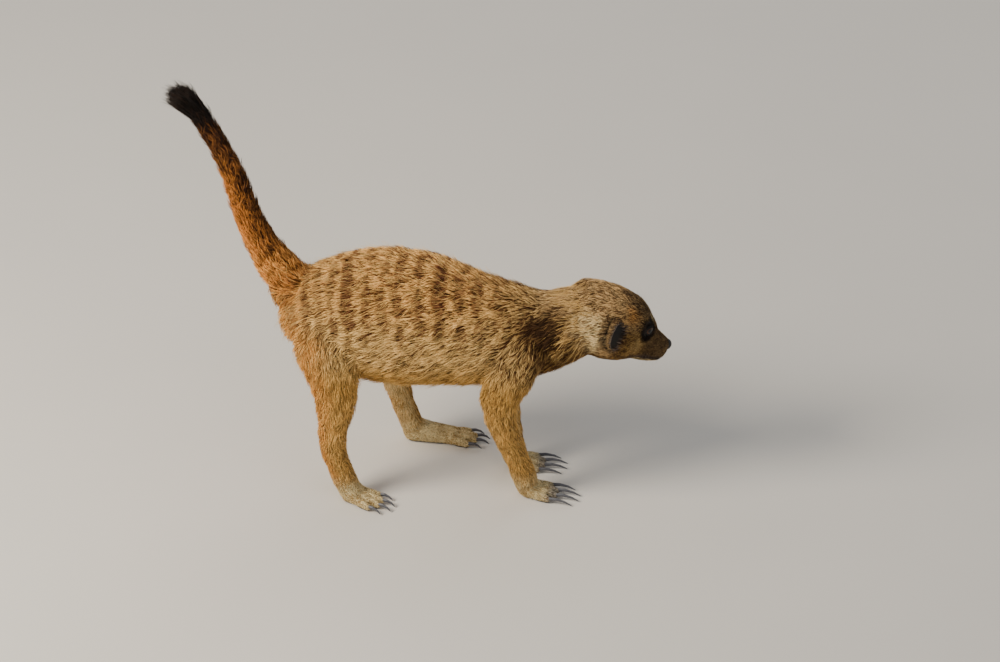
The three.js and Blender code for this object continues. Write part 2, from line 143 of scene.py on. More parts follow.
PATHS = {
    "head": head_path(),
    "torso": TORSO,
    "tail": TAIL,
    "foreleg_left": FORE_LEFT,
    "foreleg_right": mirrored(FORE_RIGHT),
    "hindleg_left": HIND_LEFT,
    "hindleg_right": mirrored(HIND_RIGHT),
    "forefoot_left": FOREFOOT_LEFT,
    "forefoot_right": FOREFOOT_RIGHT,
    "hindfoot_left": HINDFOOT_LEFT,
    "hindfoot_right": HINDFOOT_RIGHT,
}
PARTS = tuple(PATHS)

# The coat at the start and the end of a path: its depth over the skin, then a tuft's length, width and
# spacing.
COAT = {
    "head": ((0.3, 1.6, 0.3, 0.56), (2.2, 7.5, 0.5, 0.82)),
    "torso": ((3.0, 9.5, 0.6, 0.95), (4.2, 12.0, 0.72, 1.08)),
    "tail": ((3.2, 10.0, 0.66, 0.95), (3.0, 13.0, 0.62, 0.92)),
    "foreleg": ((3.4, 8.5, 0.6, 0.95), (1.1, 4.4, 0.46, 0.82)),
    "hindleg": ((3.6, 9.5, 0.66, 1.0), (1.1, 4.4, 0.46, 0.82)),
    "forefoot": ((0.9, 3.2, 0.42, 0.75), (0.3, 1.8, 0.34, 0.72)),
    "hindfoot": ((0.9, 3.2, 0.42, 0.75), (0.3, 1.8, 0.34, 0.72)),
}
# How the hair leans off its path's way, on the rump from a share of the torso's length on.
FALL = {"head": (0, 0, -0.25), "torso": (0, 0, -0.35), "tail": (0, 0, 0)}
OTHER_FALL = (0, 0, -0.2)
RUMP_FALL = (0.75, 0, -1.1)
RUMP_FROM = 0.8
GUIDE_STEP = 4.0
GUIDE_SHARP = 7.0  # how quickly a guide gives way to the next
LIE_BLOCK = 20000  # points that are read at once


def part_number(name):
    return PARTS.index(name)


class Guides:
    """Samples of every path, each a few millimetres from the next."""

    def __init__(self):
        rows = [row for name in PARTS for row in self.samples(name)]
        self.centre = np.array([row[0] for row in rows])
        self.half = np.array([row[1] for row in rows])
        self.flow = np.array([row[2] for row in rows])
        self.part = np.array([row[3] for row in rows])
        self.along = np.array([row[4] for row in rows])
        self.axis = np.array([row[6] for row in rows])
        owner = np.eye(len(PARTS))[self.part]
        coat = np.array([row[5] for row in rows])
        self.table = np.concatenate([self.flow, self.along[:, None], coat, owner], axis=1)

    def samples(self, name):
        stations = np.array(PATHS[name], float)
        run = np.concatenate([[0], np.cumsum(np.linalg.norm(np.diff(stations[:, :3], axis=0), axis=1))])
        places = np.linspace(0, run[-1], max(2, int(run[-1] / GUIDE_STEP)))
        x, y, z, half = (np.interp(places, run, column) for column in stations.T)
        centre = np.stack([x, y, z], 1)
        axis = np.gradient(centre, axis=0)
        axis /= np.linalg.norm(axis, axis=1, keepdims=True)
        kind = name.split("_")[0]
        start, end = np.array(COAT[kind])
        fall = np.array(FALL.get(kind, OTHER_FALL))
        for i, place in enumerate(places / run[-1]):
            coat = start + (end - start) * place
            flow = axis[i] + fall
            if kind == "torso":
                flow = flow + np.array(RUMP_FALL) * max(0, place - RUMP_FROM) / (1 - RUMP_FROM)
            yield centre[i], half[i], flow, part_number(name), place, coat, axis[i]


GUIDES = Guides()


class Lie:
    """How the coat lies at some points: direction, the parts' shares, place along the part and measures."""

    def __init__(self, points):
        body = to_body(points)
        blocks = [self.read(body[start : start + LIE_BLOCK]) for start in range(0, len(body), LIE_BLOCK)]
        table = np.concatenate([block[0] for block in blocks])
        self.nearest = np.concatenate([block[1] for block in blocks])
        self.flow, self.along, self.coat, self.share = table[:, :3], table[:, 3], table[:, 4:8], table[:, 8:]

    def read(self, body):
        """The means of the guides' values near each point, and the nearest guide."""
        square = (body**2).sum(1, keepdims=True) - 2 * body @ GUIDES.centre.T + (GUIDES.centre**2).sum(1)
        near = (-GUIDE_SHARP * square / GUIDES.half**2).astype(np.float32)
        weight = np.exp(near - near.max(1, keepdims=True))
        weight /= weight.sum(1, keepdims=True)
        return weight @ GUIDES.table.astype(np.float32), weight.argmax(1)

    def of(self, *kinds):
        """The share of the parts whose names start so."""
        return sum(self.share[:, i] for i, name in enumerate(PARTS) if name.startswith(kinds))


# ---------------------------------------------------------------- colours


def paint(red, green, blue):
    """A colour given in 0 to 255, as the linear numbers that shaders use."""
    shares = (red / 255, green / 255, blue / 255)
    return tuple(c / 12.92 if c <= 0.04045 else ((c + 0.055) / 1.055) ** 2.4 for c in shares)


def colour_setting(name, description, colour):
    return FloatVectorProperty(
        name=name, description=description, subtype="COLOR", size=3, min=0, max=1, default=paint(*colour)
    )


def length_setting(name, description, millimetres):
    return FloatProperty(name=name, description=description, unit="LENGTH", min=0, default=millimetres * MM)


def number_setting(name, description, default, low=0):
    return FloatProperty(name=name, description=description, min=low, default=default)


def power_setting(name, description, watts):
    return FloatProperty(name=name, description=description, unit="POWER", min=0, default=watts)


def angle_setting(name, description, degrees):
    return FloatProperty(name=name, description=description, subtype="ANGLE", default=math.radians(degrees))


class MeerkatSkin(bpy.types.PropertyGroup):
    """The skin's fineness and depth."""

    voxel: length_setting("Fineness", "Size of the skin's smallest step", 0.55)
    draft_voxel: length_setting("Draft fineness", "Size of the smallest step in a quick look", 1.1)
    triangles: IntProperty(name="Triangles", description="Most triangles", min=1000, default=185000)
    depth: number_setting("Depth of the coat", "Share of the coat's full depth", 1)


class MeerkatCoat(bpy.types.PropertyGroup):
    """The coat's thickness and its colours."""

    spacing: number_setting("Spacing", "Spacing of the tufts, as a share of the usual", 1, low=0.5)
    length: number_setting("Length", "Length of the tufts, as a share of the usual", 1, low=0.2)
    seed: IntProperty(name="Seed", description="Number that the random draws start from", min=0, default=7)
    straw: colour_setting("Straw", "Pale guard hairs of the back and flanks", (240, 200, 128))
    brown: colour_setting("Brown", "Underfur between the guard hairs", (92, 52, 19))
    row_brown: colour_setting("Row brown", "The broken dark rows over the back", (94, 46, 24))
    belly: colour_setting("Belly", "Tan hair of the belly", (216, 166, 86))
    # Orange is the rump's own colour, made brighter with painted sunlight
    orange: colour_setting("Orange", "Rump and backs of the thighs", (252, 182, 94))
    golden: colour_setting("Golden", "Legs", (242, 190, 106))
    cream: colour_setting("Cream", "Feet and cheeks", (254, 230, 172))
    grey: colour_setting("Grey", "Toes", (128, 128, 136))
    rufous: colour_setting("Rufous", "Rear and underside of the tail", (224, 144, 66))
    bistre: colour_setting("Bistre", "Front and upper side of the tail", (66, 32, 8))
    black: colour_setting("Black", "Tip of the tail and the patches round the eyes", (19, 11, 5))
    crown: colour_setting("Crown", "Light hairs of the head", (212, 174, 118))
    umber: colour_setting("Umber", "Dark hairs of the head and the muzzle", (74, 46, 18))


class MeerkatHead(bpy.types.PropertyGroup):
    """Eyes and whiskers."""

    iris: colour_setting("Iris", "Colour of the eye round its pupil", (44, 24, 11))
    whisker: length_setting("Whiskers", "Length of the longest whisker", 20)
    horn: colour_setting("Claws", "Colour of the claws", (54, 54, 58))
    leather: colour_setting("Bare skin", "Colour of the ears, nose and lids", (30, 21, 15))


class MeerkatStage(bpy.types.PropertyGroup):
    """Floor, lights and camera."""

    floor: colour_setting("Floor", "Colour of the floor", (226, 220, 210))
    floor_size: length_setting("Floor size", "Side of the floor", 14000)
    key: power_setting("Key light", "Power of the strongest light", 33.5)
    fill: power_setting("Fill light", "Power of each softer light", 4.5)
    distance: length_setting("Camera distance", "From the camera to the middle of the picture", 3500)
    lens: number_setting("Lens", "Focal length in millimetres", 176.4, low=10)
    azimuth: angle_setting("Azimuth", "Turn of the camera round the animal", 8)
    elevation: angle_setting("Elevation", "Height of the camera over the floor", 32)


GROUPS = {
    "meerkat_skin": MeerkatSkin,
    "meerkat_coat": MeerkatCoat,
    "meerkat_head": MeerkatHead,
    "meerkat_stage": MeerkatStage,
}


# ---------------------------------------------------------------- shader maths


class Value:
    """A socket of a shader. Arithmetic on it adds the nodes."""

    def __init__(self, shader, socket):
        self.shader = shader
        self.socket = socket

    def maths(self, operation, *values, clamp=False):
        settings = {"operation": operation, "use_clamp": clamp}
        return self.shader.node("ShaderNodeMath", settings, dict(enumerate(values)))

    def __add__(self, other):
        return self.maths("ADD", self, other)

    def __sub__(self, other):
        return self.maths("SUBTRACT", self, other)

    def __mul__(self, other):
        return self.maths("MULTIPLY", self, other)

    def __pow__(self, other):
        return self.maths("POWER", self, other)

    def __rsub__(self, other):
        return self.maths("SUBTRACT", other, self)

    __radd__ = __add__
    __rmul__ = __mul__

    def clamped(self):
        return self.maths("ADD", self, 0.0, clamp=True)

    def step(self, low, high):
        """0 below `low`, 1 above `high` and smooth between them."""
        inputs = {"Value": self, "From Min": low, "From Max": high}
        return self.shader.node("ShaderNodeMapRange", {"interpolation_type": "SMOOTHSTEP"}, inputs)


class Shader:
    """A material's node tree."""

    def __init__(self, name):
        self.material = bpy.data.materials.new(name)
        self.material.use_nodes = True
        self.tree = self.material.node_tree
        self.tree.nodes.clear()

    def node(self, kind, settings, inputs, output=0):
        """Adds a node, makes its settings, fills its sockets with numbers or links and gives one output."""
        made = self.tree.nodes.new(kind)
        for name, setting in settings.items():
            setattr(made, name, setting)
        for key, value in inputs.items():
            if isinstance(value, Value):
                self.tree.links.new(value.socket, made.inputs[key])
            else:
                made.inputs[key].default_value = value
        return Value(self, made.outputs[output]) if made.outputs else None

    def number(self, name):
        return self.node("ShaderNodeAttribute", {"attribute_name": name}, {}, output=2)

    def vector(self, name):
        return self.node("ShaderNodeAttribute", {"attribute_name": name}, {}, output=1)

    def colour(self, name):
        return self.node("ShaderNodeAttribute", {"attribute_name": name}, {}, output=0)

    def place(self):
        return self.node("ShaderNodeTexCoord", {}, {}, output=3)

    def noise(self, where, scale, detail=2.0, roughness=0.5):
        inputs = {"Vector": where, "Scale": scale, "Detail": detail, "Roughness": roughness}
        return self.node("ShaderNodeTexNoise", {}, inputs)

    def joined(self, x, y, z):
        return self.node("ShaderNodeCombineXYZ", {}, {0: x, 1: y, 2: z})

    def parts(self, vector):
        """The three numbers of a vector."""
        made = self.tree.nodes.new("ShaderNodeSeparateXYZ")
        self.tree.links.new(vector.socket, made.inputs[0])
        return [Value(self, socket) for socket in made.outputs]

    def scaled(self, where, factors):
        return self.node("ShaderNodeVectorMath", {"operation": "MULTIPLY"}, {0: where, 1: factors})

    def mix(self, factor, first, second, blend="MIX"):
        settings = {"data_type": "RGBA", "blend_type": blend}
        return self.node("ShaderNodeMix", settings, {0: factor, 6: first, 7: second}, output=2)

    def grey(self, value):
        return self.node("ShaderNodeCombineColor", {}, {0: value, 1: value, 2: value})

    def bump(self, height, strength, distance):
        return self.node("ShaderNodeBump", {}, {"Height": height, "Strength": strength, "Distance": distance})

    def finish(self, **sockets):
        """Ends the tree in one surface shader, with the sockets' names in lower case and underscores."""
        surface = self.tree.nodes.new("ShaderNodeBsdfPrincipled")
        names = {name.lower().replace(" ", "_"): name for name in surface.inputs.keys()}
        for key, value in sockets.items():
            if isinstance(value, Value):
                self.tree.links.new(value.socket, surface.inputs[names[key]])
            else:
                surface.inputs[names[key]].default_value = value
        output = self.tree.nodes.new("ShaderNodeOutputMaterial")
        self.tree.links.new(surface.outputs[0], output.inputs[0])
        return self.material


def rgba(colour):
    return (*colour, 1.0)


# The dark rows, in steps from one row to the next: how ragged and how wandering they are, what noise makes a
# dash, how wide its half grows and at most, and how sharp its edge is.
RAGGED = 0.22
WANDER = 0.7
DASH_FROM = 0.36
DASH_GROWTH = 1.7
DASH_HALF = 0.31
DASH_EDGE = 9.0
SIDE_APART = 4.0  # parts the noise of the left and the right side


def dark_rows(shader, tone):
    """1 in the dashes of the dark rows, whose edges each tuft draws a little to one side."""
    phase, height, side = shader.parts(shader.vector("row_place"))
    wobble = shader.noise(shader.joined(phase * 0.8, height * 1.7, side * SIDE_APART), 1.0)
    phase = phase + (tone - 0.5) * RAGGED + (wobble - 0.5) * WANDER
    row = phase.maths("ROUND", phase)
    off = phase.maths("ABSOLUTE", phase - row)
    dash = shader.noise(shader.joined(row * 3.7, height, side * SIDE_APART), 1.0, detail=1.0)
    half = (dash - DASH_FROM) * DASH_GROWTH
    half = half.maths("MINIMUM", half, DASH_HALF)
    return ((half - off) * DASH_EDGE + 0.5).clamped() * shader.number("rows")


MOTTLE_SCALE = 60.0
CLUMP_SCALE = 210.0


def coat_colours(shader, root, pick, along):
    """The coat's colour: light or dark hair by `pick`, with the dark rows, paler towards the tips."""
    rows = dark_rows(shader, pick)
    mottle = shader.noise(root, MOTTLE_SCALE) - 0.5
    clump = shader.noise(root, CLUMP_SCALE) - 0.5
    dark_share = shader.number("dark_share") + mottle * 0.9 + clump
    dark = ((dark_share - pick) * 3.0 + 0.5).clamped()
    colour = shader.mix(dark, shader.colour("light_hair"), shader.colour("dark_hair"))
    colour = shader.mix(rows * (1.0 - 0.3 * pick), colour, shader.colour("row_hair"))
    shade = 0.42 + 0.72 * along + (pick - 0.5) * 0.34 - clump * 0.4
    return shader.mix(1.0, colour, shader.grey(shade), blend="MULTIPLY")


def coat_material():
    shader = Shader("coat")
    root = shader.vector("root")
    along = shader.number("along")
    tone = shader.number("tone")
    colour = coat_colours(shader, root, tone, along)
    streak = shader.noise(shader.place(), 2600.0, detail=1.0)
    bump = shader.bump(streak, 0.25, 0.0003)
    return shader.finish(base_color=colour, roughness=0.6 + 0.15 * tone, specular_ior_level=0.2, normal=bump)


def skin_material():
    shader = Shader("undercoat")
    root = shader.place()
    fine = shader.noise(root, 1100.0, detail=2.0).step(0.3, 0.7)
    colour = coat_colours(shader, root, fine, 0.15 + 0.4 * fine)
    bare = shader.number("bare")
    colour = shader.mix(bare, colour, shader.colour("bare_skin"))
    pores = shader.noise(root, 2400.0, detail=2.0)
    bump = shader.bump(fine * (1 - bare) + pores * bare * 0.6, 0.45, 0.0005)
    return shader.finish(base_color=colour, roughness=0.72 - 0.2 * bare, specular_ior_level=0.3, normal=bump)


def eye_material(settings):
    shader = Shader("eye")
    across, up, ahead = (shader.number(f"eye_{axis}") for axis in ("across", "up", "ahead"))
    reach = ((across * 0.62) ** 2.0 + up**2.0) ** 0.5
    ring = (across**2.0 + up**2.0) ** 0.5
    rays = shader.noise(shader.vector("eye_rays"), 9.0, detail=3.0)
    iris = shader.mix(rays, rgba(settings.iris), rgba(paint(86, 50, 22)))
    iris = shader.mix(ring.step(0.5, 0.74), iris, rgba(paint(14, 9, 7)))
    colour = shader.mix(reach.step(0.27, 0.33), rgba(paint(3, 2, 2)), iris)
    white = ring.step(0.84, 0.95) + (0 - ahead).step(0.0, 0.3)
    colour = shader.mix(white.clamped(), colour, rgba(paint(40, 26, 18)))
    return shader.finish(base_color=colour, roughness=0.07, ior=1.36)


def leather_material(name, colour, grain, strength, roughness):
    shader = Shader(name)
    root = shader.place()
    inputs = {"Vector": root, "Scale": grain}
    cells = shader.node("ShaderNodeTexVoronoi", {"feature": "DISTANCE_TO_EDGE"}, inputs)
    blotch = shader.noise(root, 260.0, detail=3.0)
    tint = shader.mix(blotch.step(0.35, 0.75), rgba(colour), rgba([min(1, c * 2.2) for c in colour]))
    bump = shader.bump(cells.step(0.0, 0.22), strength, 0.0003)
    return shader.finish(base_color=tint, roughness=roughness + blotch * 0.15, normal=bump)


def horn_material(settings):
    shader = Shader("horn")
    root = shader.place()
    lines = shader.noise(shader.scaled(root, (0.25, 1.0, 1.0)), 1500.0, detail=2.0)
    tint = shader.mix(lines, rgba(settings.horn), rgba(paint(104, 104, 110)))
    bump = shader.bump(lines, 0.2, 0.0002)
    return shader.finish(base_color=tint, roughness=0.44 + 0.15 * lines, normal=bump)


def hair_material(name, colour):
    shader = Shader(name)
    tint = shader.mix(shader.number("along"), rgba(colour), rgba([min(1, c * 1.8) for c in colour]))
    return shader.finish(base_color=tint, roughness=0.4)


def floor_material(settings):
    shader = Shader("floor")
    dust = shader.noise(shader.place(), 6.0, detail=6.0)
    tint = shader.mix(dust, rgba(settings.floor), rgba([c * 0.93 for c in settings.floor]))
    return shader.finish(base_color=tint, roughness=0.85)


# ---------------------------------------------------------------- meshes


def smooth_step(low, high, value):
    share = np.clip((value - low) / (high - low), 0, 1)
    return share * share * (3 - 2 * share)


def ramps(*spans):
    """Smooth steps multiplied, each given as its value, where it is 0 and where it is 1."""
    return math.prod(smooth_step(low, high, value) for value, low, high in spans)


def bell(*spans):
    """1 where each value is at its centre, fading over its reach."""
    return np.exp(-sum(((value - centre) / reach) ** 2 for value, centre, reach in spans))


def unit(vectors):
    return vectors / np.maximum(np.linalg.norm(vectors, axis=1, keepdims=True), 1e-9)


def vertex_array(mesh, what="co"):
    values = np.empty(len(mesh.vertices) * 3, np.float32)
    mesh.vertices.foreach_get(what, values)
    return values.reshape(-1, 3).astype(float)


def set_vertices(mesh, points):
    mesh.vertices.foreach_set("co", np.asarray(points, np.float32).ravel())
    mesh.update()


def add_attribute(mesh, name, kind, values):
    field = {"FLOAT": "value", "FLOAT_VECTOR": "vector", "FLOAT_COLOR": "color"}[kind]
    values = np.asarray(values, np.float32)
    if kind == "FLOAT_COLOR":
        values = np.concatenate([values, np.ones((len(values), 1), np.float32)], 1)
    mesh.attributes.new(name, kind, "POINT").data.foreach_set(field, values.ravel())


def new_piece(name, mesh, material, slot):
    mesh.name = name
    mesh.materials.clear()
    mesh.materials.append(material)
    mesh.shade_smooth()
    piece = bpy.data.objects.new(name, mesh)
    bpy.context.scene.collection.objects.link(piece)
    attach(piece, "root")
    return piece


def mesh_of(bm):
    mesh = bpy.data.meshes.new("piece")
    bm.to_mesh(mesh)
    bm.free()
    return mesh


def in_order(mesh):
    """The same mesh with its faces in one fixed order, which some operators change from run to run."""
    faces = []
    for face in mesh.polygons:
        corners = list(face.vertices)
        first = corners.index(min(corners))
        faces.append(corners[first:] + corners[:first])
    fixed = bpy.data.meshes.new("piece")
    fixed.from_pydata([vert.co for vert in mesh.vertices], [], sorted(faces))
    bpy.data.meshes.remove(mesh)
    return fixed


def with_modifiers(mesh, *modifiers):
    """The mesh after modifiers, each a type with its settings."""
    holder = bpy.data.objects.new("holder", mesh)
    bpy.context.scene.collection.objects.link(holder)
    for kind, settings in modifiers:
        modifier = holder.modifiers.new(kind.title(), kind)
        for name, setting in settings.items():
            setattr(modifier, name, setting)
    ready = holder.evaluated_get(bpy.context.evaluated_depsgraph_get())
    result = bpy.data.meshes.new_from_object(ready)
    bpy.data.objects.remove(holder)
    return result


def merged_solids(names, grow=0.0):
    """The solids of some nodes as one mesh, with their shared points merged and the surface moved out."""
    bm = bmesh.new()
    for name in names:
        bm.from_mesh(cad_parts[name].data)
    bmesh.ops.remove_doubles(bm, verts=bm.verts, dist=1e-6)
    bm.normal_update()
    for vert, normal in [(vert, vert.normal.copy()) for vert in bm.verts]:
        vert.co += normal * grow * MM
    return mesh_of(bm)


def remeshed(mesh, voxel):
    return with_modifiers(mesh, ("REMESH", {"mode": "VOXEL", "voxel_size": voxel, "adaptivity": 0.0}))


def edge_array(mesh):
    edges = np.empty(len(mesh.edges) * 2, np.int32)
    mesh.edges.foreach_get("vertices", edges)
    return edges.reshape(-1, 2)


def relaxed(values, edges, share, rounds):
    """Moves each value towards the mean of its neighbours, by a share or by its own, some times over."""
    first, second = edges.T
    count = len(values)
    degree = np.bincount(first, minlength=count) + np.bincount(second, minlength=count)
    columns = values.reshape(count, -1).copy()
    for _ in range(rounds):
        for column in columns.T:
            total = np.bincount(first, column[second], count) + np.bincount(second, column[first], count)
            column += share * (total / degree - column)
    return columns.reshape(values.shape)


def triangle_array(mesh):
    mesh.calc_loop_triangles()
    corners = np.empty(len(mesh.loop_triangles) * 3, np.int32)
    mesh.loop_triangles.foreach_get("vertices", corners)
    return corners.reshape(-1, 3)


def tree_of(mesh):
    """A search tree over a mesh, with the smooth normal of each of its triangles."""
    corners = triangle_array(mesh)
    tree = BVHTree.FromPolygons(vertex_array(mesh).tolist(), corners.tolist())
    return tree, unit(vertex_array(mesh, "normal")[corners].mean(1))


# ---------------------------------------------------------------- skin

LIMBS = [(end, hand) for end in ("fore", "hind") for hand in HANDS]
FLESH = ["head", "jaw", "neck", "torso", "tail_base", "tail_middle", "tail_tip"] + [
    f"{end}{piece}" for end, hand in LIMBS
    for piece in (f"leg_{hand}_upper", f"leg_{hand}_lower", f"foot_{hand}")
]
CLAWS = {f"{end}foot_{hand}": [f"{end}foot_{hand}_claw_{i}" for i in (1, 2, 3, 4)] for end, hand in LIMBS}
COVERED = ["nose"] + [name for names in CLAWS.values() for name in names]

# Depths of the skin inside the solids, where the coat's own doesn't hold.
EYE_DEPTH = 0.35
TOE_DEPTH = 0.85
SOLE_DEPTH = 0.1
GAP_FILL = 0.25  # how far the solids swell to close the cuts between them
MOST_OF_ROOM = 0.36  # of the body's thickness, so that thin parts keep their flesh
ROOM_BEYOND = 0.1  # metres, where nothing lies behind a point
ROOM_FROM = 2e-4  # metres under the surface
TAIL_CORE = ((-150.5, 0, 262), (-161, 0, 281), (-168, 0, 291.5), (-173, 0, 296.5))
CORE_LEAN = 0.8
CORE_ROOM = ((390, 8), (405, 5.5), (425, 4.6), (440, 3.4))  # height less CORE_LEAN of the reach ahead, radius


def inner_room(mesh, points, normals):
    """How thick the body is under each point."""
    tree = BVHTree.FromPolygons(points.tolist(), triangle_array(mesh).tolist())
    room = np.full(len(points), ROOM_BEYOND)
    for i, (point, normal) in enumerate(zip(points - normals * ROOM_FROM, -normals)):
        hit = tree.ray_cast(Vector(point), Vector(normal))
        if hit[3] is not None:
            room[i] = hit[3]
    return room


def off_line(points, line):
    """Each point's way from the nearest place of a line of straight runs."""
    line = np.array(line, float)
    off = np.full(points.shape, 1e3)
    for start, end in zip(line[:-1], line[1:]):
        run = end - start
        share = np.clip(((points - start) @ run) / (run @ run), 0, 1)
        way = points - start - share[:, None] * run
        nearer = np.linalg.norm(way, axis=1) < np.linalg.norm(off, axis=1)
        off[nearer] = way[nearer]
    return off


def mouth_groove(head):
    """How near each point of the head is to the line of the mouth, from 1 on it to 0."""
    apart = np.linalg.norm(off_line(head[:, [0, 2]], MOUTH_LINE), axis=1)
    return np.clip(1 - apart**2, 0, 1) * smooth_step(34, 38, head[:, 0])


def folded(head):
    """Points of the head, those on its right laid over to its left."""
    return np.stack([head[:, 0], np.abs(head[:, 1]), head[:, 2]], 1)


def eye_distance(head):
    """The way from each point of the head to the nearer eye's middle."""
    return np.linalg.norm(folded(head) - EYE_AT, axis=1)


def skin_depth(points, normals, lie, scale):
    """How far the skin lies inside the solids."""
    head = to_head(points)
    depth = lie.coat[:, 0] * scale
    near_eye = smooth_step(10.5, 6.0, eye_distance(head)) * (lie.of("head") > 0.5)
    depth = depth * (1 - near_eye) + EYE_DEPTH * near_eye
    toes = lie.of("forefoot", "hindfoot") * smooth_step(0.35, 0.65, lie.along)
    depth = depth * (1 - toes) + TOE_DEPTH * toes
    sole = lie.of("forefoot", "hindfoot") * smooth_step(-0.3, -0.8, normals[:, 2])
    return depth * (1 - sole) + SOLE_DEPTH * sole


def tail_core(points):
    """Draws the thin locks at the tail's end in to a blunt core."""
    body = to_body(points)
    off = off_line(body, TAIL_CORE)
    apart = np.linalg.norm(off, axis=1)
    room = np.interp(body[:, 2] - CORE_LEAN * body[:, 0], *np.array(CORE_ROOM).T)
    extra = np.clip(apart - room, 0, None) * smooth_step(-158, -164, body[:, 0])
    return points - off * (extra / np.maximum(apart, 1e-6))[:, None] * MM


EAR_AT = np.array([7, 25, 2.2])
EAR_SIZE = np.array([7, 7.2, 12.5])  # half of it
EAR_TILT = 8  # degrees, the top to the rear
EAR_FUR = (0.5, 3.0, 0.36, 0.5)  # depth, then a tuft's length, width and spacing
HOLLOW = {"ahead": 1.6, "wide": 7.2, "high": 13.0, "deep": 1.6}
MOUTH_DEEP = 0.9


def tipped(vectors, degrees):
    """Vectors of the head turned about its left axis, their upper ends to the front."""
    x, y, z = vectors.T
    turn = math.radians(degrees)
    ahead = x * math.cos(turn) + z * math.sin(turn)
    return np.stack([ahead, y, z * math.cos(turn) - x * math.sin(turn)], 1)


def ear_frame(head):
    """Each point's way from the nearer ear's middle: across the ear, out of the head and along the ear."""
    return tipped(folded(head) - EAR_AT, EAR_TILT)


def ear_hollow(head):
    """How far inside the hollow ahead of each ear's rim a point lies, from 0 at its edge to 1."""
    x, _, z = ear_frame(head).T
    inside = 1 - ((x - HOLLOW["ahead"]) / HOLLOW["wide"]) ** 2 - (z / HOLLOW["high"]) ** 2
    return np.clip(inside, 0, 1) * (np.abs(head[:, 1]) > 16)


def sculpt(points, normals, lie):
    """Presses the line of the mouth and the hollows of the ears into the skin."""
    head = to_head(points)
    pressed = mouth_groove(head) * MOUTH_DEEP + np.sqrt(ear_hollow(head)) * HOLLOW["deep"]
    return points - normals * (pressed * (lie.of("head") > 0.5) * MM)[:, None]


def build_skin(settings):
    """The flesh as one mesh: closed over the cuts, smoothed, drawn in by the coat's depth and sculpted."""
    voxel = settings.voxel
    mesh = remeshed(merged_solids(FLESH + COVERED, grow=GAP_FILL), voxel)
    points = vertex_array(mesh)
    edges = edge_array(mesh)
    lie = Lie(points)
    ease = 0.6 * (1 - 0.9 * lie.of("head", "forefoot", "hindfoot"))
    points = relaxed(points, edges, ease, 24)
    points = relaxed(points, edges, 0.5, 2)
    set_vertices(mesh, points)
    normals = unit(relaxed(vertex_array(mesh, "normal"), edges, 0.5, 4))
    depth = skin_depth(points, normals, lie, settings.depth) + GAP_FILL
    depth = np.minimum(depth, inner_room(mesh, points, normals) / MM * MOST_OF_ROOM)
    depth = relaxed(depth, edges, 0.5, 6)
    points = tail_core(points - normals * (depth * MM)[:, None])
    points = relaxed(points, edges, ease, 8)
    set_vertices(mesh, points)
    points = sculpt(points, vertex_array(mesh, "normal"), lie)
    set_vertices(mesh, points)
    triangles = 2 * len(mesh.polygons)
    if triangles > settings.triangles:
        mesh = with_modifiers(mesh, ("DECIMATE", {"ratio": settings.triangles / triangles}))
    return mesh


class MEERKAT_OT_skin(bpy.types.Operator):
    """Makes one skin from all the flesh, inside it by the depth of the coat"""

    bl_idname = "meerkat.skin"
    bl_label = "Skin"

    def execute(self, context):
        settings = context.scene
        mesh = build_skin(settings.meerkat_skin)
        points = vertex_array(mesh)
        lie = Lie(points)
        Markings(points, vertex_array(mesh, "normal"), lie, settings.meerkat_coat).write(mesh)
        add_attribute(mesh, "bare", "FLOAT", bareness(points, lie))
        add_attribute(mesh, "bare_skin", "FLOAT_COLOR", bare_colour(points, settings.meerkat_head.leather))
        piece = new_piece("skin", mesh, skin_material(), "body_coat")
        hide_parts(*FLESH)
        return {"FINISHED"}


# ---------------------------------------------------------------- markings

# Places of the dark rows along the back, and how strong each is.
ROWS = ((-98, 0.35), (-86, 0.75), (-76, 0.75), (-65.5, 0.5), (-55, 1.0), (-38.5, 1.0), (-28, 0.4),
        (-17, 0.85), (-2.5, 0.85), (12.7, 1.0), (26.4, 0.85), (38.7, 0.75), (52, 0.6), (66, 0.2))
ROW_AT, ROW_STRENGTH = np.array(ROWS).T
DASH = 13.0
MID_HEIGHT = 128
BROW_LINE = ((-27, 19), (-5, 26), (8, 25.5), (19, 23.5), (28, 18.5), (36, 10.5), (43, 3.5), (50, -0.3),
             (58, -5))


def row_places(points):
    """For each point, its place among the dark rows, its height in lengths of a dash, and its side."""
    x, y, z = to_body(points).T
    lean = x + 0.04 * (z - MID_HEIGHT) + 1.6 * np.sin(z * 0.09 + np.sign(y))
    return np.stack([np.interp(lean, ROW_AT, np.arange(len(ROWS))), z / DASH, np.tanh(y / 4)], 1)


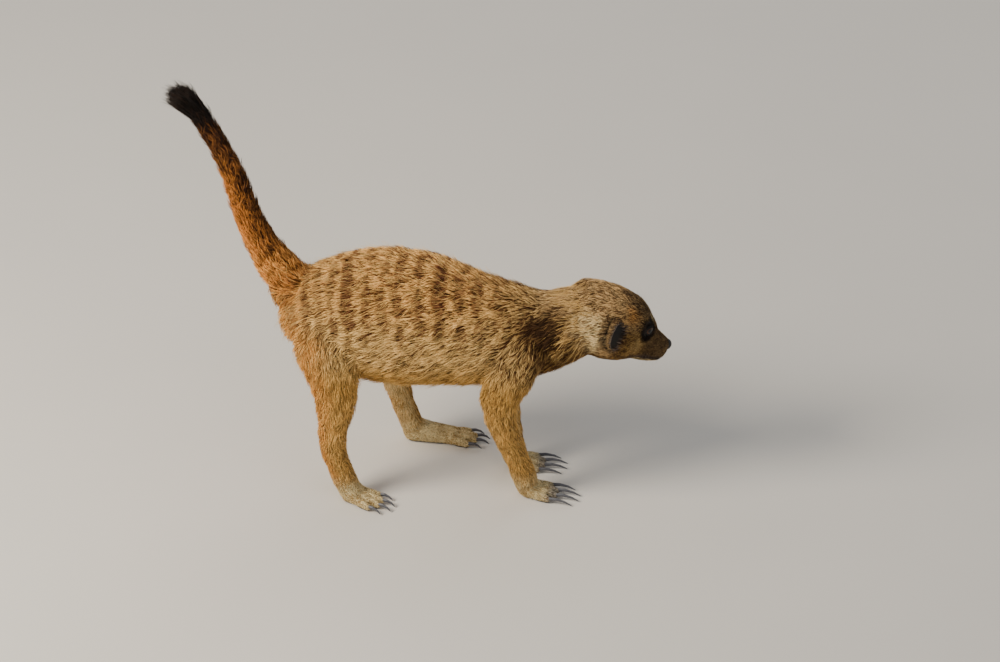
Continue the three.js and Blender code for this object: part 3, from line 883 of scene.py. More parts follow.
class Markings:
    """The coat's colours at some points: a light and a dark hair colour, and the share of dark hairs."""

    def __init__(self, points, normals, lie, palette):
        self.palette = {
            name: np.array(getattr(palette, name))
            for name in palette.__annotations__ if hasattr(getattr(palette, name), "__len__")
        }
        count = len(points)
        self.light = np.tile(self.palette["straw"], (count, 1))
        self.dark = np.tile(self.palette["brown"], (count, 1))
        self.share = np.full(count, 0.3)
        self.row_hair = np.tile(self.palette["row_brown"], (count, 1))
        body = to_body(points)
        self.torso(body, lie)
        self.legs(body, normals, lie)
        self.tail(normals, lie)
        self.head(to_head(points), lie)
        self.neck(to_head(points), lie)

    def over(self, mask, light, dark, share):
        """Lays colours over what is there, by a mask."""
        column = mask[:, None]
        self.light = self.light * (1 - column) + self.colour(light) * column
        self.dark = self.dark * (1 - column) + self.colour(dark) * column
        self.share = self.share * (1 - mask) + share * mask

    def colour(self, name):
        """A colour of the palette, or two mixed by the share of the second."""
        if isinstance(name, str):
            return self.palette[name]
        first, second, share = name
        return self.palette[first] * (1 - share) + self.palette[second] * share

    def torso(self, body, lie):
        x, _, z = body.T
        height = (z - MID_HEIGHT) / 50
        on = lie.of("torso", "hindleg")
        self.over(smooth_step(0.1, 0.7, height), ("straw", "orange", 0.45), ("brown", "rufous", 0.12), 0.36)
        self.over(smooth_step(-0.15, -0.6, height), "belly", ("brown", "belly", 0.55), 0.14)
        # Painted shade: the front of the chest and the lower neck are darker
        front = smooth_step(30, 90, x) * smooth_step(-0.9, 0.1, height)
        self.over(front, ("straw", "brown", 0.4), ("brown", "umber", 0.5), 0.54)
        nape = smooth_step(88, 112, x)
        self.over(nape * 0.9, ("golden", "umber", 0.42), ("brown", "umber", 0.5), 0.6)
        # The rump: its own orange, kept paler by few dark hairs as painted sunlight
        self.over(smooth_step(-70, -98, x), "orange", ("brown", "orange", 0.6), 0.14)
        zone = smooth_step(-0.15, 0.3, height) * smooth_step(72, 50, x) * (1 - lie.of("tail"))
        strength = np.interp(x, ROW_AT, ROW_STRENGTH, left=0)
        self.rows = np.clip(strength * zone * on, 0, 1)

    def legs(self, body, normals, lie):
        _, y, z = body.T
        leg = lie.of("foreleg", "hindleg") * smooth_step(104, 66, z)
        self.over(leg, "golden", ("brown", "golden", 0.5), 0.22)
        # The backs of the hind legs, picked by which way they face: their own orange hair, brightened with
        # painted sunlight
        behind = lie.of("hindleg") * smooth_step(0.1, -0.7, normals[:, 0])
        self.over(behind, "orange", ("brown", "orange", 0.6), 0.14)
        # Painted shade: the sides of the legs that face ahead are darker
        front = leg * smooth_step(0.2, 0.9, normals[:, 0])
        self.over(front * 0.5, ("golden", "brown", 0.3), "brown", 0.36)
        inner = leg * smooth_step(0.1, 0.8, -normals[:, 1] * np.sign(y))
        self.over(inner * 0.7, "cream", "golden", 0.3)
        ankle = smooth_step(26, 10, z) * lie.of("foreleg", "hindleg")
        foot = np.maximum(lie.of("forefoot", "hindfoot"), ankle)
        self.over(foot, "cream", ("golden", "brown", 0.2), 0.2)
        toes = lie.of("forefoot") * smooth_step(0.45, 0.8, lie.along)
        self.over(toes * 0.9, ("grey", "cream", 0.25), ("grey", "umber", 0.5), 0.4)

    def tail(self, normals, lie):
        on, along = lie.of("tail"), lie.along
        front = smooth_step(-0.5, 0.7, normals @ np.array([0.93, 0, 0.37]))
        self.over(on, "orange", ("brown", "rufous", 0.5), 0.24)
        self.over(on * smooth_step(0.05, 0.35, along), "rufous", ("brown", "rufous", 0.4), 0.28)
        self.over(on * front * smooth_step(0.02, 0.3, along), ("rufous", "bistre", 0.5), "bistre", 0.6)
        end = on * smooth_step(0.42, 0.72, along)
        self.over(end, ("bistre", "rufous", 0.3), ("bistre", "black", 0.4), 0.65)
        self.over(on * smooth_step(0.72, 0.84, along), ("bistre", "black", 0.7), "black", 0.8)

    def head(self, head, lie):
        on = lie.of("head")
        x, y, z = head.T
        aside = np.abs(y)
        below_brow = z - np.interp(x, *np.array(BROW_LINE).T)
        self.over(on, "crown", ("umber", "brown", 0.5), 0.36)
        forehead = ramps((x, 6, 20), (below_brow, -10, -3))
        self.over(on * forehead, ("crown", "umber", 0.4), ("umber", "black", 0.15), 0.54)
        streak = bell((x, 20, 7), (z, 15, 6)) * smooth_step(10, 15, aside)
        self.over(on * streak * 0.85, ("orange", "umber", 0.45), ("brown", "umber", 0.5), 0.45)
        face = ramps((x, 11, 18), (z, 10, 3))
        self.over(on * face, ("golden", "umber", 0.55), ("umber", "brown", 0.4), 0.54)
        pale = bell((x, 31, 6), (z, -4, 8)) * smooth_step(9, 14, aside)
        self.over(on * pale * 0.8, ("golden", "cream", 0.35), ("golden", "umber", 0.5), 0.28)
        behind_ear = ramps((x, -28, -15), (x, 6, 1), (z, 17, 6), (aside, 11, 19))
        self.over(on * behind_ear * 0.75, "cream", ("crown", "brown", 0.5), 0.26)
        greys = ramps((x, 9, 12), (x, 19, 15), (z, -13, -8), (z, 12, 8), (aside, 14, 20))
        self.over(on * greys, ("grey", "umber", 0.45), ("umber", "black", 0.5), 0.5)
        muzzle = smooth_step(34, 41, x + 0.25 * np.clip(z + 12, -4, 12))
        self.over(on * muzzle, ("umber", "crown", 0.36), "umber", 0.5)
        jaw = ramps((x, 24, 32), (z, -13, -17))
        self.over(on * jaw * 0.8, ("umber", "grey", 0.25), ("umber", "black", 0.3), 0.55)
        stretched = head * (0.9, 1, 1.0) + (EYE_AT[0] * 0.1 - 0.2, 0, 1.0)
        patch = smooth_step(9.6, 7.0, eye_distance(stretched))
        self.over(on * patch, ("black", "umber", 0.45), "black", 0.7)
        from_ear = np.linalg.norm(ear_frame(head) / EAR_SIZE, axis=1)
        near_ear = ramps((from_ear, 1.3, 1.05), (aside, 20, 23))
        self.over(on * near_ear * 0.9, ("umber", "crown", 0.42), ("umber", "black", 0.35), 0.5)
        brow = bell((x, 37.5, 3), (z, 11.5, 2.5), (aside, 4.5, 2.5))
        self.over(on * brow * 0.6, "cream", "crown", 0.2)
        lip = ramps((x, 33, 37), (z, -18.2, -19.5), (z, -23, -21))
        self.over(on * lip * 0.8, ("cream", "golden", 0.4), "umber", 0.3)
        # Painted shade under the chin and on the throat
        shaded_throat = ramps((z, -18, -24), (x, 36, 26))
        self.over(on * shaded_throat, ("golden", "umber", 0.62), "umber", 0.6)

    def neck(self, head, lie):
        x, y, z = head.T
        on = lie.of("head", "torso")
        # Painted shade: the underside of the neck is darker
        under = ramps((z, -6, -22), (x, 4, -6), (x, -62, -48)) * on
        self.over(under * 0.9, ("golden", "umber", 0.55), ("umber", "brown", 0.5), 0.6)
        # Painted shade: a dark patch on each side of the neck, where its hollow lies in shade
        side = bell((x, -36, 15), (z, -10, 16)) * smooth_step(8, 15, np.abs(y))
        self.over(side * on * 0.9, ("umber", "brown", 0.4), ("umber", "black", 0.5), 0.85)

    def write(self, mesh, keep=slice(None), each=1):
        """Writes the chosen points' colours to a mesh that has `each` vertices for every one of them."""
        for name, kind, values in (
            ("light_hair", "FLOAT_COLOR", self.light),
            ("dark_hair", "FLOAT_COLOR", self.dark),
            ("row_hair", "FLOAT_COLOR", self.row_hair),
            ("dark_share", "FLOAT", self.share),
            ("rows", "FLOAT", self.rows),
        ):
            add_attribute(mesh, name, kind, np.repeat(values[keep], each, axis=0))
        add_attribute(mesh, "row_place", "FLOAT_VECTOR", row_places(vertex_array(mesh)))


def bareness(points, lie):
    """1 on the rims of the eyes, the lips, the hollows of the ears, the nose and the pads of the feet."""
    head = to_head(points)
    rim = smooth_step(6.35, 5.7, eye_distance(head))
    lips = mouth_groove(head)
    ear = smooth_step(0.0, 0.15, ear_hollow(head))
    nose = ramps((head[:, 0], 57.0, 58.5), (head[:, 2], -12.5, -11))
    pads = lie.of("forefoot", "hindfoot") * smooth_step(3.0, 1.0, to_body(points)[:, 2])
    return np.clip((rim + lips + ear + nose) * (lie.of("head") > 0.5) + pads, 0, 1)


def bare_colour(points, leather):
    """The colour of the bare skin, with painted shade that darkens it towards the middle of the ears'
    hollows.
    """
    return np.array(leather) * (1 - 0.6 * ear_hollow(to_head(points)))[:, None]


# ---------------------------------------------------------------- coat

# The stations of a tuft from root to tip: their place along it, the width of those between the ends, and the
# height over the skin.
LONG_TUFT = {"at": (0, 0.28, 0.62, 1), "width": (1.0, 0.75), "height": (-0.12, 0.42, 0.78, 1.0)}
SHORT_TUFT = {"at": (0, 0.42, 1), "width": (1.0,), "height": (-0.15, 0.6, 1.0)}
SHORT_BELOW = 6.0
THICK = 0.36  # a tuft's thickness as a share of its width
BARE_BELOW = 0.3  # the bareness under which hair grows
PATCH = 0.0028  # a tuft's size in the map for baking
BRUSH = {
    "hairs": 1500,
    "from": np.array([-170.0, 0, 294]),
    "reach": 17,
    "behind": -158,
    "end": np.array([-180.5, 0, 301.0]),
    "spread": 8.6,
    "jitter": np.array([2.6, 1.5, 1.6]),
    "bow": 2.2,
    "arch": np.array([0.5, 0, 2.0]),
    "width": (0.35, 0.75),
}
WISPS = {"hairs": 5600, "neck": 4, "nape": 3, "body": 1.0, "legs": 0.3, "length": 16, "width": (0.16, 0.34)}
WISP_GAIN = (1.25, 1.3, 1, 1)  # on the coat's depth and the tufts' length, width and spacing
BELTS = {"back": (146, 400), "flank": (114, 146), "belly": (0, 114)}
TORSO_PIECES = {f"coat_{belt}_{hand}": ("body_coat", ("torso",)) for belt in BELTS for hand in HANDS}
LEG_PIECES = {
    f"coat_{end}leg_{hand}": ("leg_coat", (f"{end}leg_{hand}", f"{end}foot_{hand}")) for end, hand in LIMBS
}
# Each piece's slot and the parts whose hair it holds.
PIECES = {
    "coat_head": ("head_coat", ("head",)),
    **TORSO_PIECES,
    "coat_tail": ("tail_coat", ("tail",)),
    **LEG_PIECES,
}


def scatter(mesh, spacing, draw):
    """Random places over a mesh, about four for each that is wanted, with their smooth normals."""
    corners = triangle_array(mesh)
    points, normals = vertex_array(mesh), vertex_array(mesh, "normal")
    a, b, c = (points[corners[:, i]] for i in range(3))
    area = np.linalg.norm(np.cross(b - a, c - a), axis=1) / 2
    wanted = area / spacing[corners].mean(1) ** 2
    picked = draw.choice(len(area), int(wanted.sum() * 4), p=wanted / wanted.sum())
    u, v = draw.random(len(picked)), draw.random(len(picked))
    flip = u + v > 1
    u[flip], v[flip] = 1 - u[flip], 1 - v[flip]
    shares = np.stack([1 - u - v, u, v], 1)[:, :, None]
    return (points[corners[picked]] * shares).sum(1), unit((normals[corners[picked]] * shares).sum(1))


GRID = 0.78  # a cell's width as a share of the spacing, since two grids leave some cells empty


def thinned(points, spacing, draw):
    """Leaves one point in each cell of two grids as wide as the spacing there, so that they lie evenly."""
    kept = np.arange(len(points))
    level = np.round(np.log2(spacing) * 3).astype(int)
    cell = 2.0 ** (level / 3) * GRID
    for shift in (0.0, 0.5):
        order = draw.permutation(len(kept))
        grid = np.floor(points[kept] / cell[kept, None] + shift).astype(int)
        keys = np.concatenate([grid, level[kept, None]], 1)[order]
        _, first = np.unique(keys, axis=0, return_index=True)
        kept = kept[order[first]]
    return kept


def settle(tree, normals, points):
    """The nearest places of the skin, and its smooth normals there."""
    hits = [tree.find_nearest(point) for point in map(Vector, points)]
    return np.array([hit[0] for hit in hits]), normals[[hit[2] for hit in hits]]


def across(vectors, normals):
    """Vectors laid flat on the surface."""
    return unit(vectors - normals * (vectors * normals).sum(1, keepdims=True))


def ripples(points, length, seed):
    """A smooth random measure over some places, mostly between -1 and 1, that swings once in each length."""
    draw = np.random.default_rng(seed)
    ways = unit(draw.normal(size=(7, 3))) * 2 * np.pi / (length * MM)
    return np.sin(points @ ways.T + draw.random(7) * 2 * np.pi).sum(1) / 2.6


def strand_mesh(path, up, width, shares):
    """A mesh of closed, flat, three-sided strands, pointed at both ends, each along its own path."""
    count, rings = path.shape[0], len(shares)
    ahead = np.gradient(path, axis=1)[:, 1:-1]
    over = up[:, 1:-1]
    side = np.cross(ahead, over)
    side /= np.maximum(np.linalg.norm(side, axis=2, keepdims=True), 1e-12)
    half = (width[:, None] * np.array(shares) / 2)[:, :, None]
    centre = path[:, 1:-1]
    corners = np.stack([centre - side * half, centre + side * half, centre + over * half * 2 * THICK], 2)
    each = rings * 3 + 2
    points = np.concatenate([path[:, :1], corners.reshape(count, -1, 3), path[:, -1:]], 1).reshape(-1, 3)
    turn = [(1 + i, 1 + (i + 1) % 3) for i in range(3)]
    ends = [(0, a, b) for a, b in turn] + [(b + rings * 3 - 3, a + rings * 3 - 3, each - 1) for a, b in turn]
    walls = [(b + r * 3, a + r * 3, a + r * 3 + 3, b + r * 3 + 3) for r in range(rings - 1) for a, b in turn]
    return mesh_from_arrays(points, [faces for faces in (ends, walls) if faces], count, each), each


def mesh_from_arrays(points, face_sets, count, each):
    """One mesh of many like bodies, from all their points and one body's faces."""
    mesh = bpy.data.meshes.new("strands")
    shift = (np.arange(count) * each)[:, None, None]
    loops = [(np.array(faces)[None] + shift).reshape(-1, len(faces[0])) for faces in face_sets]
    sizes = np.concatenate([np.full(len(block), block.shape[1]) for block in loops])
    mesh.vertices.add(len(points))
    mesh.vertices.foreach_set("co", points.astype(np.float32).ravel())
    mesh.loops.add(int(sizes.sum()))
    corners = np.concatenate([block.ravel() for block in loops])
    mesh.loops.foreach_set("vertex_index", corners.astype(np.int32))
    mesh.polygons.add(len(sizes))
    mesh.polygons.foreach_set("loop_start", np.concatenate([[0], np.cumsum(sizes)[:-1]]).astype(np.int32))
    mesh.update(calc_edges=True)
    return mesh


def unwrapped(points, guide, parts):
    """Each point's place on the skin of some parts unrolled round their paths, side by side in one square."""
    body = to_body(points)
    axis = GUIDES.axis[guide]
    offset = body - GUIDES.centre[guide]
    run = GUIDES.along[guide]
    side = unit(np.cross(axis, np.where(np.abs(axis[:, 1:2]) > 0.9, [[1.0, 0, 0]], [[0, 1.0, 0]])))
    turn = np.arctan2((offset * side).sum(1), (offset * np.cross(side, axis)).sum(1)) / (2 * np.pi) + 0.5
    strip = np.zeros(len(points))
    for i, name in enumerate(parts):
        strip[GUIDES.part[guide] == part_number(name)] = i
    run = np.clip(run + (offset * axis).sum(1) / 300, 0, 1)
    return np.stack([(strip + 0.02 + 0.96 * turn) / len(parts), 0.02 + 0.96 * run], 1)


def along_strand(at):
    """The place along the strand of each of its vertices."""
    return np.concatenate([at[:1], np.repeat(at[1:-1], 3), at[-1:]])


def add_patches(mesh, places, at):
    """The map for baking: each tuft is a small patch at its root's place."""
    aside = np.concatenate([[0], np.tile([-0.5, 0.5, 0.1], len(at) - 2), [0]])
    lift = np.concatenate([[0], np.tile([0, 0, 0.12], len(at) - 2), [0]])
    patch = np.stack([aside, along_strand(at) - 0.5 + lift], 1) * PATCH
    flat = (places[:, None] + patch[None]).reshape(-1, 2)
    corner = np.empty(len(mesh.loops), np.int32)
    mesh.loops.foreach_get("vertex_index", corner)
    mesh.uv_layers.new(name="OFBake").data.foreach_set("uv", flat[corner].astype(np.float32).ravel())


def coat_flow(points):
    return Lie(points).flow


class Fleece:
    """The roots of the fur over a surface: the coat's own measures and lie, or others that are given."""

    def __init__(self, surface, settings, measures=None, flow=coat_flow, furry=None):
        self.draw = np.random.default_rng(settings.seed)
        self.tree, self.face_normals = tree_of(surface)
        self.flow = flow
        scale = settings.spacing * 1.0 * MM
        points, normals = scatter(surface, self.spacing(vertex_array(surface), measures) * scale, self.draw)
        kept = thinned(points, self.spacing(points, measures) * scale, self.draw)
        points, normals = points[kept], normals[kept]
        grown = furry(points, normals) if furry else bareness(points, Lie(points)) < BARE_BELOW
        self.points, self.normals = points[grown], normals[grown]
        self.lie = Lie(self.points)
        self.marks = Markings(self.points, self.normals, self.lie, settings)
        coat = self.lie.coat if measures is None else np.tile(measures, (len(self.points), 1))
        self.coat = coat * np.array([1, settings.length, 1, 1])

    def spacing(self, points, measures):
        return Lie(points).coat[:, 3] if measures is None else np.full(len(points), measures[3])

    def chosen(self, name, parts):
        """The roots of one piece of the coat."""
        own = np.isin(GUIDES.part[self.lie.nearest], [part_number(part) for part in parts])
        _, belt, *hand = name.split("_")
        if belt in BELTS:
            body = to_body(self.points)
            low, high = BELTS[belt]
            own &= (body[:, 2] >= low) & (body[:, 2] < high) & ((body[:, 1] > 0) == (hand == ["left"]))
        return own

    def piece(self, name, slot, parts, material):
        own = self.chosen(name, parts)
        short = self.coat[:, 1] < SHORT_BELOW
        for suffix, form, mask in (("", LONG_TUFT, own & ~short), ("_short", SHORT_TUFT, own & short)):
            if mask.sum() > 20:
                self.grow(name + suffix, slot, parts, material, form, np.flatnonzero(mask))

    def grow_short(self, name, material):
        """A piece of short tufts of the head, one on every root."""
        self.grow(name, "head_coat", ("head",), material, SHORT_TUFT, np.arange(len(self.points)))

    def grow(self, name, slot, parts, material, form, chosen):
        coat = self.coat[chosen]
        path, up = self.combed(chosen, coat, form)
        width = coat[:, 2] * self.draw.uniform(0.7, 1.3, len(chosen)) * MM
        self.lay(name, slot, parts, material, form, chosen, path, up, width)

    def combed(self, chosen, coat, form):
        """The path of each tuft over the skin, with the surface's normal at each ring."""
        place, normal, count = self.points[chosen], self.normals[chosen], len(chosen)
        turn = self.draw.normal(0, 0.17, count) + 0.27 * ripples(place, 11, 1)
        length = coat[:, 1] * self.draw.uniform(0.7, 1.3, count) * MM
        stand = coat[:, 0] * self.draw.uniform(0.5, 1.1, count) * (1 + 0.3 * ripples(place, 8, 2)) * MM
        path, up = [], []
        for i, height in enumerate(form["height"]):
            path.append(place + normal * (stand * height)[:, None])
            up.append(normal)
            if i + 1 < len(form["at"]):
                ahead = across(self.flow(place), normal)
                aside = np.cross(normal, ahead)
                ahead = ahead * np.cos(turn)[:, None] + aside * np.sin(turn)[:, None]
                step = (form["at"][i + 1] - form["at"][i]) * length
                place, normal = settle(self.tree, self.face_normals, place + ahead * step[:, None])
        return np.stack(path, 1), np.stack(up, 1)

    def lay(self, name, slot, parts, material, form, chosen, path, up, width):
        """Makes a piece of strands along some paths, one for each chosen root."""
        roots = self.points[chosen]
        mesh, each = strand_mesh(path, up, width, form["width"])
        at = np.array(form["at"])
        add_patches(mesh, unwrapped(roots, self.lie.nearest[chosen], parts), at)
        self.marks.write(mesh, chosen, each)
        add_attribute(mesh, "root", "FLOAT_VECTOR", np.repeat(roots, each, axis=0))
        add_attribute(mesh, "tone", "FLOAT", np.repeat(self.draw.random(len(chosen)), each))
        add_attribute(mesh, "along", "FLOAT", np.tile(along_strand(at), len(chosen)))
        new_piece(name, mesh, material, slot)


class MEERKAT_OT_coat(bpy.types.Operator):
    """Grows the tufts of the coat over the skin"""

    bl_idname = "meerkat.coat"
    bl_label = "Coat"

    def execute(self, context):
        fleece = Fleece(bpy.data.objects["skin"].data, context.scene.meerkat_coat)
        material = coat_material()
        for name, (slot, parts) in PIECES.items():
            fleece.piece(name, slot, parts, material)
        self.tail_brush(fleece, material)
        self.wisps(fleece)
        return {"FINISHED"}

    def tail_brush(self, fleece, material):
        """The long black hairs at the tail's end, which stand clear of it and spread a little."""
        body, draw = to_body(fleece.points), fleece.draw
        from_end = np.linalg.norm(body - BRUSH["from"], axis=1)
        near = np.flatnonzero((from_end < BRUSH["reach"]) & (body[:, 0] < BRUSH["behind"]))
        chosen = near[draw.integers(len(near), size=BRUSH["hairs"])]
        root, count = body[chosen], len(chosen)
        out = unit(off_line(root, TAIL_CORE))
        end = BRUSH["end"] + out * BRUSH["spread"] * np.sqrt(draw.random((count, 1)))
        end += draw.normal(0, 1, (count, 3)) * BRUSH["jitter"]
        bend = root + 0.42 * (end - root) + out * BRUSH["bow"] + BRUSH["arch"]
        t = np.array(LONG_TUFT["at"])[None, :, None]
        path = root[:, None] * (1 - t) ** 2 + 2 * bend[:, None] * t * (1 - t) + end[:, None] * t**2
        path[:, 0] -= out * 0.6
        up = unit(out + 0.3 * draw.normal(0, 1, (count, 3)))
        width = draw.uniform(*BRUSH["width"], count) * MM
        up = np.repeat(up[:, None], len(LONG_TUFT["at"]), axis=1)
        place = ("coat_tail_brush", "tail_tip_coat", ("tail",), material)
        fleece.lay(*place, LONG_TUFT, chosen, from_body(path), up, width)

    def wisps(self, fleece):
        """Long thin pale hairs that stand out of the coat, close together on the neck."""
        x, y, z = to_head(fleece.points).T
        neck = bell((x, -17, 8), (z, -9, 12)) * smooth_step(8, 14, np.abs(y))
        nape = ramps((x, -48, -34), (x, -6, -16), (z, 4, 14))
        body = fleece.lie.of("torso") * smooth_step(-40, -60, x)
        legs = fleece.lie.of("foreleg", "hindleg")
        shares = {"neck": neck, "nape": nape, "body": body, "legs": legs}
        weight = sum(WISPS[name] * share for name, share in shares.items()) * fleece.coat[:, 3] ** 2
        chosen = fleece.draw.choice(len(weight), WISPS["hairs"], replace=False, p=weight / weight.sum())
        share = (neck + nape)[chosen].clip(0, 1)
        coat = fleece.coat[chosen] * np.array(WISP_GAIN)
        coat[:, 1] = coat[:, 1] * (1 - share) + share * WISPS["length"]
        form = {**LONG_TUFT, "height": (-0.1, 0.5, 1.0, 1.5)}
        path, up = fleece.combed(chosen, coat, form)
        width = fleece.draw.uniform(*WISPS["width"], len(chosen)) * MM
        material = hair_material("wisp", paint(204, 160, 92))
        fleece.lay("coat_wisps", "body_coat", PARTS, material, form, chosen, path, up, width)


# ---------------------------------------------------------------- eyes and lids

CORNEA = (0.8, 0.05)  # from which share of the eye's radius ahead it bulges, and by how much
# The lids' section from the underside of their edge to the root under the skin: the share of the way from
# the opening's edge to the root, and the distance from the eye's middle in radii.
LID_SECTION = ((0.85, 1.02), (0.4, 1.02), (0.1, 1.02), (0.0, 1.05), (0.03, 1.1), (0.14, 1.135), (0.3, 1.14),
               (0.42, 1.125), (0.56, 1.175), (0.75, 1.215), (0.92, 1.2), (1.0, 1.1))
LID_ROOT = math.radians(64)  # from the eye's axis
LID_CREASE = {"at": 0.45, "wide": 0.08, "deep": 0.03}
OPENING = {"wide": 43, "above": 25, "below": 29, "tilt": 6}  # degrees
LID_FUR = (0.2, 1.2, 0.28, 0.34)


def eye_turn(side):
    """The turn from an eye's own frame, whose Z axis looks ahead, and the eye's middle."""
    mirror = np.array([1, side, 1])
    ahead = unit((EYE_FACING * mirror)[None] @ HEAD_AXES)[0]
    centre = from_head((EYE_AT * mirror)[None])[0]
    return Vector(ahead).to_track_quat("Z", "Y").to_matrix(), Vector(centre)


def eye_up(turn):
    """The way across the eye's own frame that is up on the head."""
    return np.array(turn.inverted() @ Vector(HEAD_AXES[2]))[:2]


def from_up(angle, turn):
    """An angle of the eye's own frame, measured from the way that is up on the head."""
    up = eye_up(turn)
    return angle - math.atan2(up[1], up[0])


class MEERKAT_OT_eyes(bpy.types.Operator):
    """Sets an eye in each socket"""

    bl_idname = "meerkat.eyes"
    bl_label = "Eyes"

    def execute(self, context):
        material = eye_material(context.scene.meerkat_head)
        for hand, side in HANDS.items():
            piece = new_piece(f"eyeball_{hand}", self.ball(side), material, "eye")
            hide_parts(f"eye_{hand}")
        return {"FINISHED"}

    def ball(self, side):
        turn, centre = eye_turn(side)
        bm = bmesh.new()
        bmesh.ops.create_uvsphere(bm, u_segments=48, v_segments=32, radius=1.0)
        local = np.array([vert.co for vert in bm.verts])
        edge, bulge = CORNEA
        for vert in bm.verts:
            vert.co *= 1 + bulge * max(0.0, (vert.co.z - edge) / (1 - edge))
        bmesh.ops.scale(bm, vec=Vector((1, 1, 1)) * EYE_RADIUS * MM, verts=bm.verts)
        bmesh.ops.rotate(bm, cent=(0, 0, 0), matrix=turn, verts=bm.verts)
        bmesh.ops.translate(bm, vec=centre, verts=bm.verts)
        mesh = in_order(mesh_of(bm))
        x, y, ahead = local.T
        up = eye_up(turn)
        up /= np.linalg.norm(up)
        add_attribute(mesh, "eye_across", "FLOAT", x * up[1] - y * up[0])
        add_attribute(mesh, "eye_up", "FLOAT", local[:, :2] @ up)
        add_attribute(mesh, "eye_ahead", "FLOAT", ahead)
        angle = np.arctan2(y, x)
        rays = np.stack([np.cos(angle), np.sin(angle), ahead * 0.2], 1)
        add_attribute(mesh, "eye_rays", "FLOAT_VECTOR", rays)
        return mesh


class MEERKAT_OT_lids(bpy.types.Operator):
    """Makes the lids round each eye, with a crease above"""

    bl_idname = "meerkat.lids"
    bl_label = "Lids"

    def execute(self, context):
        leather = context.scene.meerkat_head.leather
        material = leather_material("lid_skin", [c * 0.5 for c in leather], 1900.0, 0.4, 0.6)
        fur = coat_material()
        for hand, side in HANDS.items():
            mesh = self.ring(side)
            new_piece(f"lids_{hand}", mesh, material, "head_coat")
            middle = np.array(eye_turn(side)[1])

            def furry(points, normals):
                return self.outside(points - middle, side)

            def away(points):
                return unit(points - middle)

            fleece = Fleece(mesh, context.scene.meerkat_coat, LID_FUR, away, furry)
            fleece.grow_short(f"coat_lids_{hand}", fur)
        return {"FINISHED"}

    def outside(self, off, side):
        """Whether points lie on the outer side of the lids and clear of their bare edge."""
        turn = eye_turn(side)[0]
        own = unit(off) @ np.array(turn)
        edge = np.array([self.edge(a, side) for a in from_up(np.arctan2(own[:, 1], own[:, 0]), turn)])
        outer = np.linalg.norm(off, axis=1) > 1.08 * EYE_RADIUS * MM
        return outer & (np.arccos(own[:, 2]) > edge + 0.16 * (LID_ROOT - edge) + 0.03)

    def ring(self, side):
        """Both lids as one closed ring, made by drawing a circle through the section's places."""
        turn, centre = eye_turn(side)
        bm = bmesh.new()
        first = bmesh.ops.create_circle(bm, segments=56, radius=1.0)["verts"]
        angles = [math.atan2(vert.co.y, vert.co.x) for vert in first]
        loops = [list(first)]
        edges = list(bm.edges)
        for _ in LID_SECTION[1:]:
            made = bmesh.ops.extrude_edge_only(bm, edges=edges)["geom"]
            new = {part for part in made if isinstance(part, bmesh.types.BMVert)}
            edges = [
                part for part in made
                if isinstance(part, bmesh.types.BMEdge) and all(vert in new for vert in part.verts)
            ]
            loops.append([
                next(edge.other_vert(old) for edge in old.link_edges if edge.other_vert(old) in new)
                for old in loops[-1]
            ])
        for loop, station in zip(loops, LID_SECTION):
            for vert, angle in zip(loop, angles):
                vert.co = turn @ self.place(angle, from_up(angle, turn), station, side) + centre
        bmesh.ops.bridge_loops(bm, edges=[edge for edge in bm.edges if edge.is_boundary])
        bmesh.ops.recalc_face_normals(bm, faces=bm.faces)
        return in_order(mesh_of(bm))

    def place(self, angle, off_up, station, side):
        """A point of the lids in the eye's own frame, with the crease over the eye pressed in."""
        share, reach = station
        edge = self.edge(off_up, side)
        tilt = edge + (LID_ROOT - edge) * share
        crease = LID_CREASE["deep"] * math.exp(-(((share - LID_CREASE["at"]) / LID_CREASE["wide"]) ** 2))
        radius = (reach - crease * max(0.0, math.cos(off_up))) * EYE_RADIUS * MM
        flat = Vector((math.cos(angle), math.sin(angle), 0)) * math.sin(tilt)
        return (flat + Vector((0, 0, math.cos(tilt)))) * radius

    def edge(self, off_up, side):
        """How far from the eye's axis the opening's edge lies, at an angle from straight up."""
        angle = off_up + side * math.radians(OPENING["tilt"])
        up = math.cos(angle)
        high = math.radians(OPENING["above"] if up > 0 else OPENING["below"])
        return 1 / math.hypot(up / high, math.sin(angle) / math.radians(OPENING["wide"]))


# ---------------------------------------------------------------- ears, nose, claws and whiskers


def rounded_copy(names, voxel, rounds):
    """The solids of some nodes with their facets rounded away."""
    mesh = remeshed(merged_solids(names), voxel * MM)
    set_vertices(mesh, relaxed(vertex_array(mesh), edge_array(mesh), 0.5, rounds))
    return mesh


def tilted(points):
    """Turns an ear a little about its middle."""
    head = to_head(points)
    side = np.stack([np.ones(len(head)), np.sign(head[:, 1]), np.ones(len(head))], 1)
    off = head - EAR_AT * side
    return from_head(head - off + tipped(off, -EAR_TILT))


def ear_cup(points, normals):
    """1 on the surface of an ear's cup, 0 on its outer side and between them on the rim."""
    head = to_head(points)
    own = normals @ HEAD_AXES.T
    own[:, 1] *= np.sign(head[:, 1])
    out = unit(ear_frame(head) / EAR_SIZE**2)
    return smooth_step(0.5, -0.5, (out * tipped(own, EAR_TILT)).sum(1))


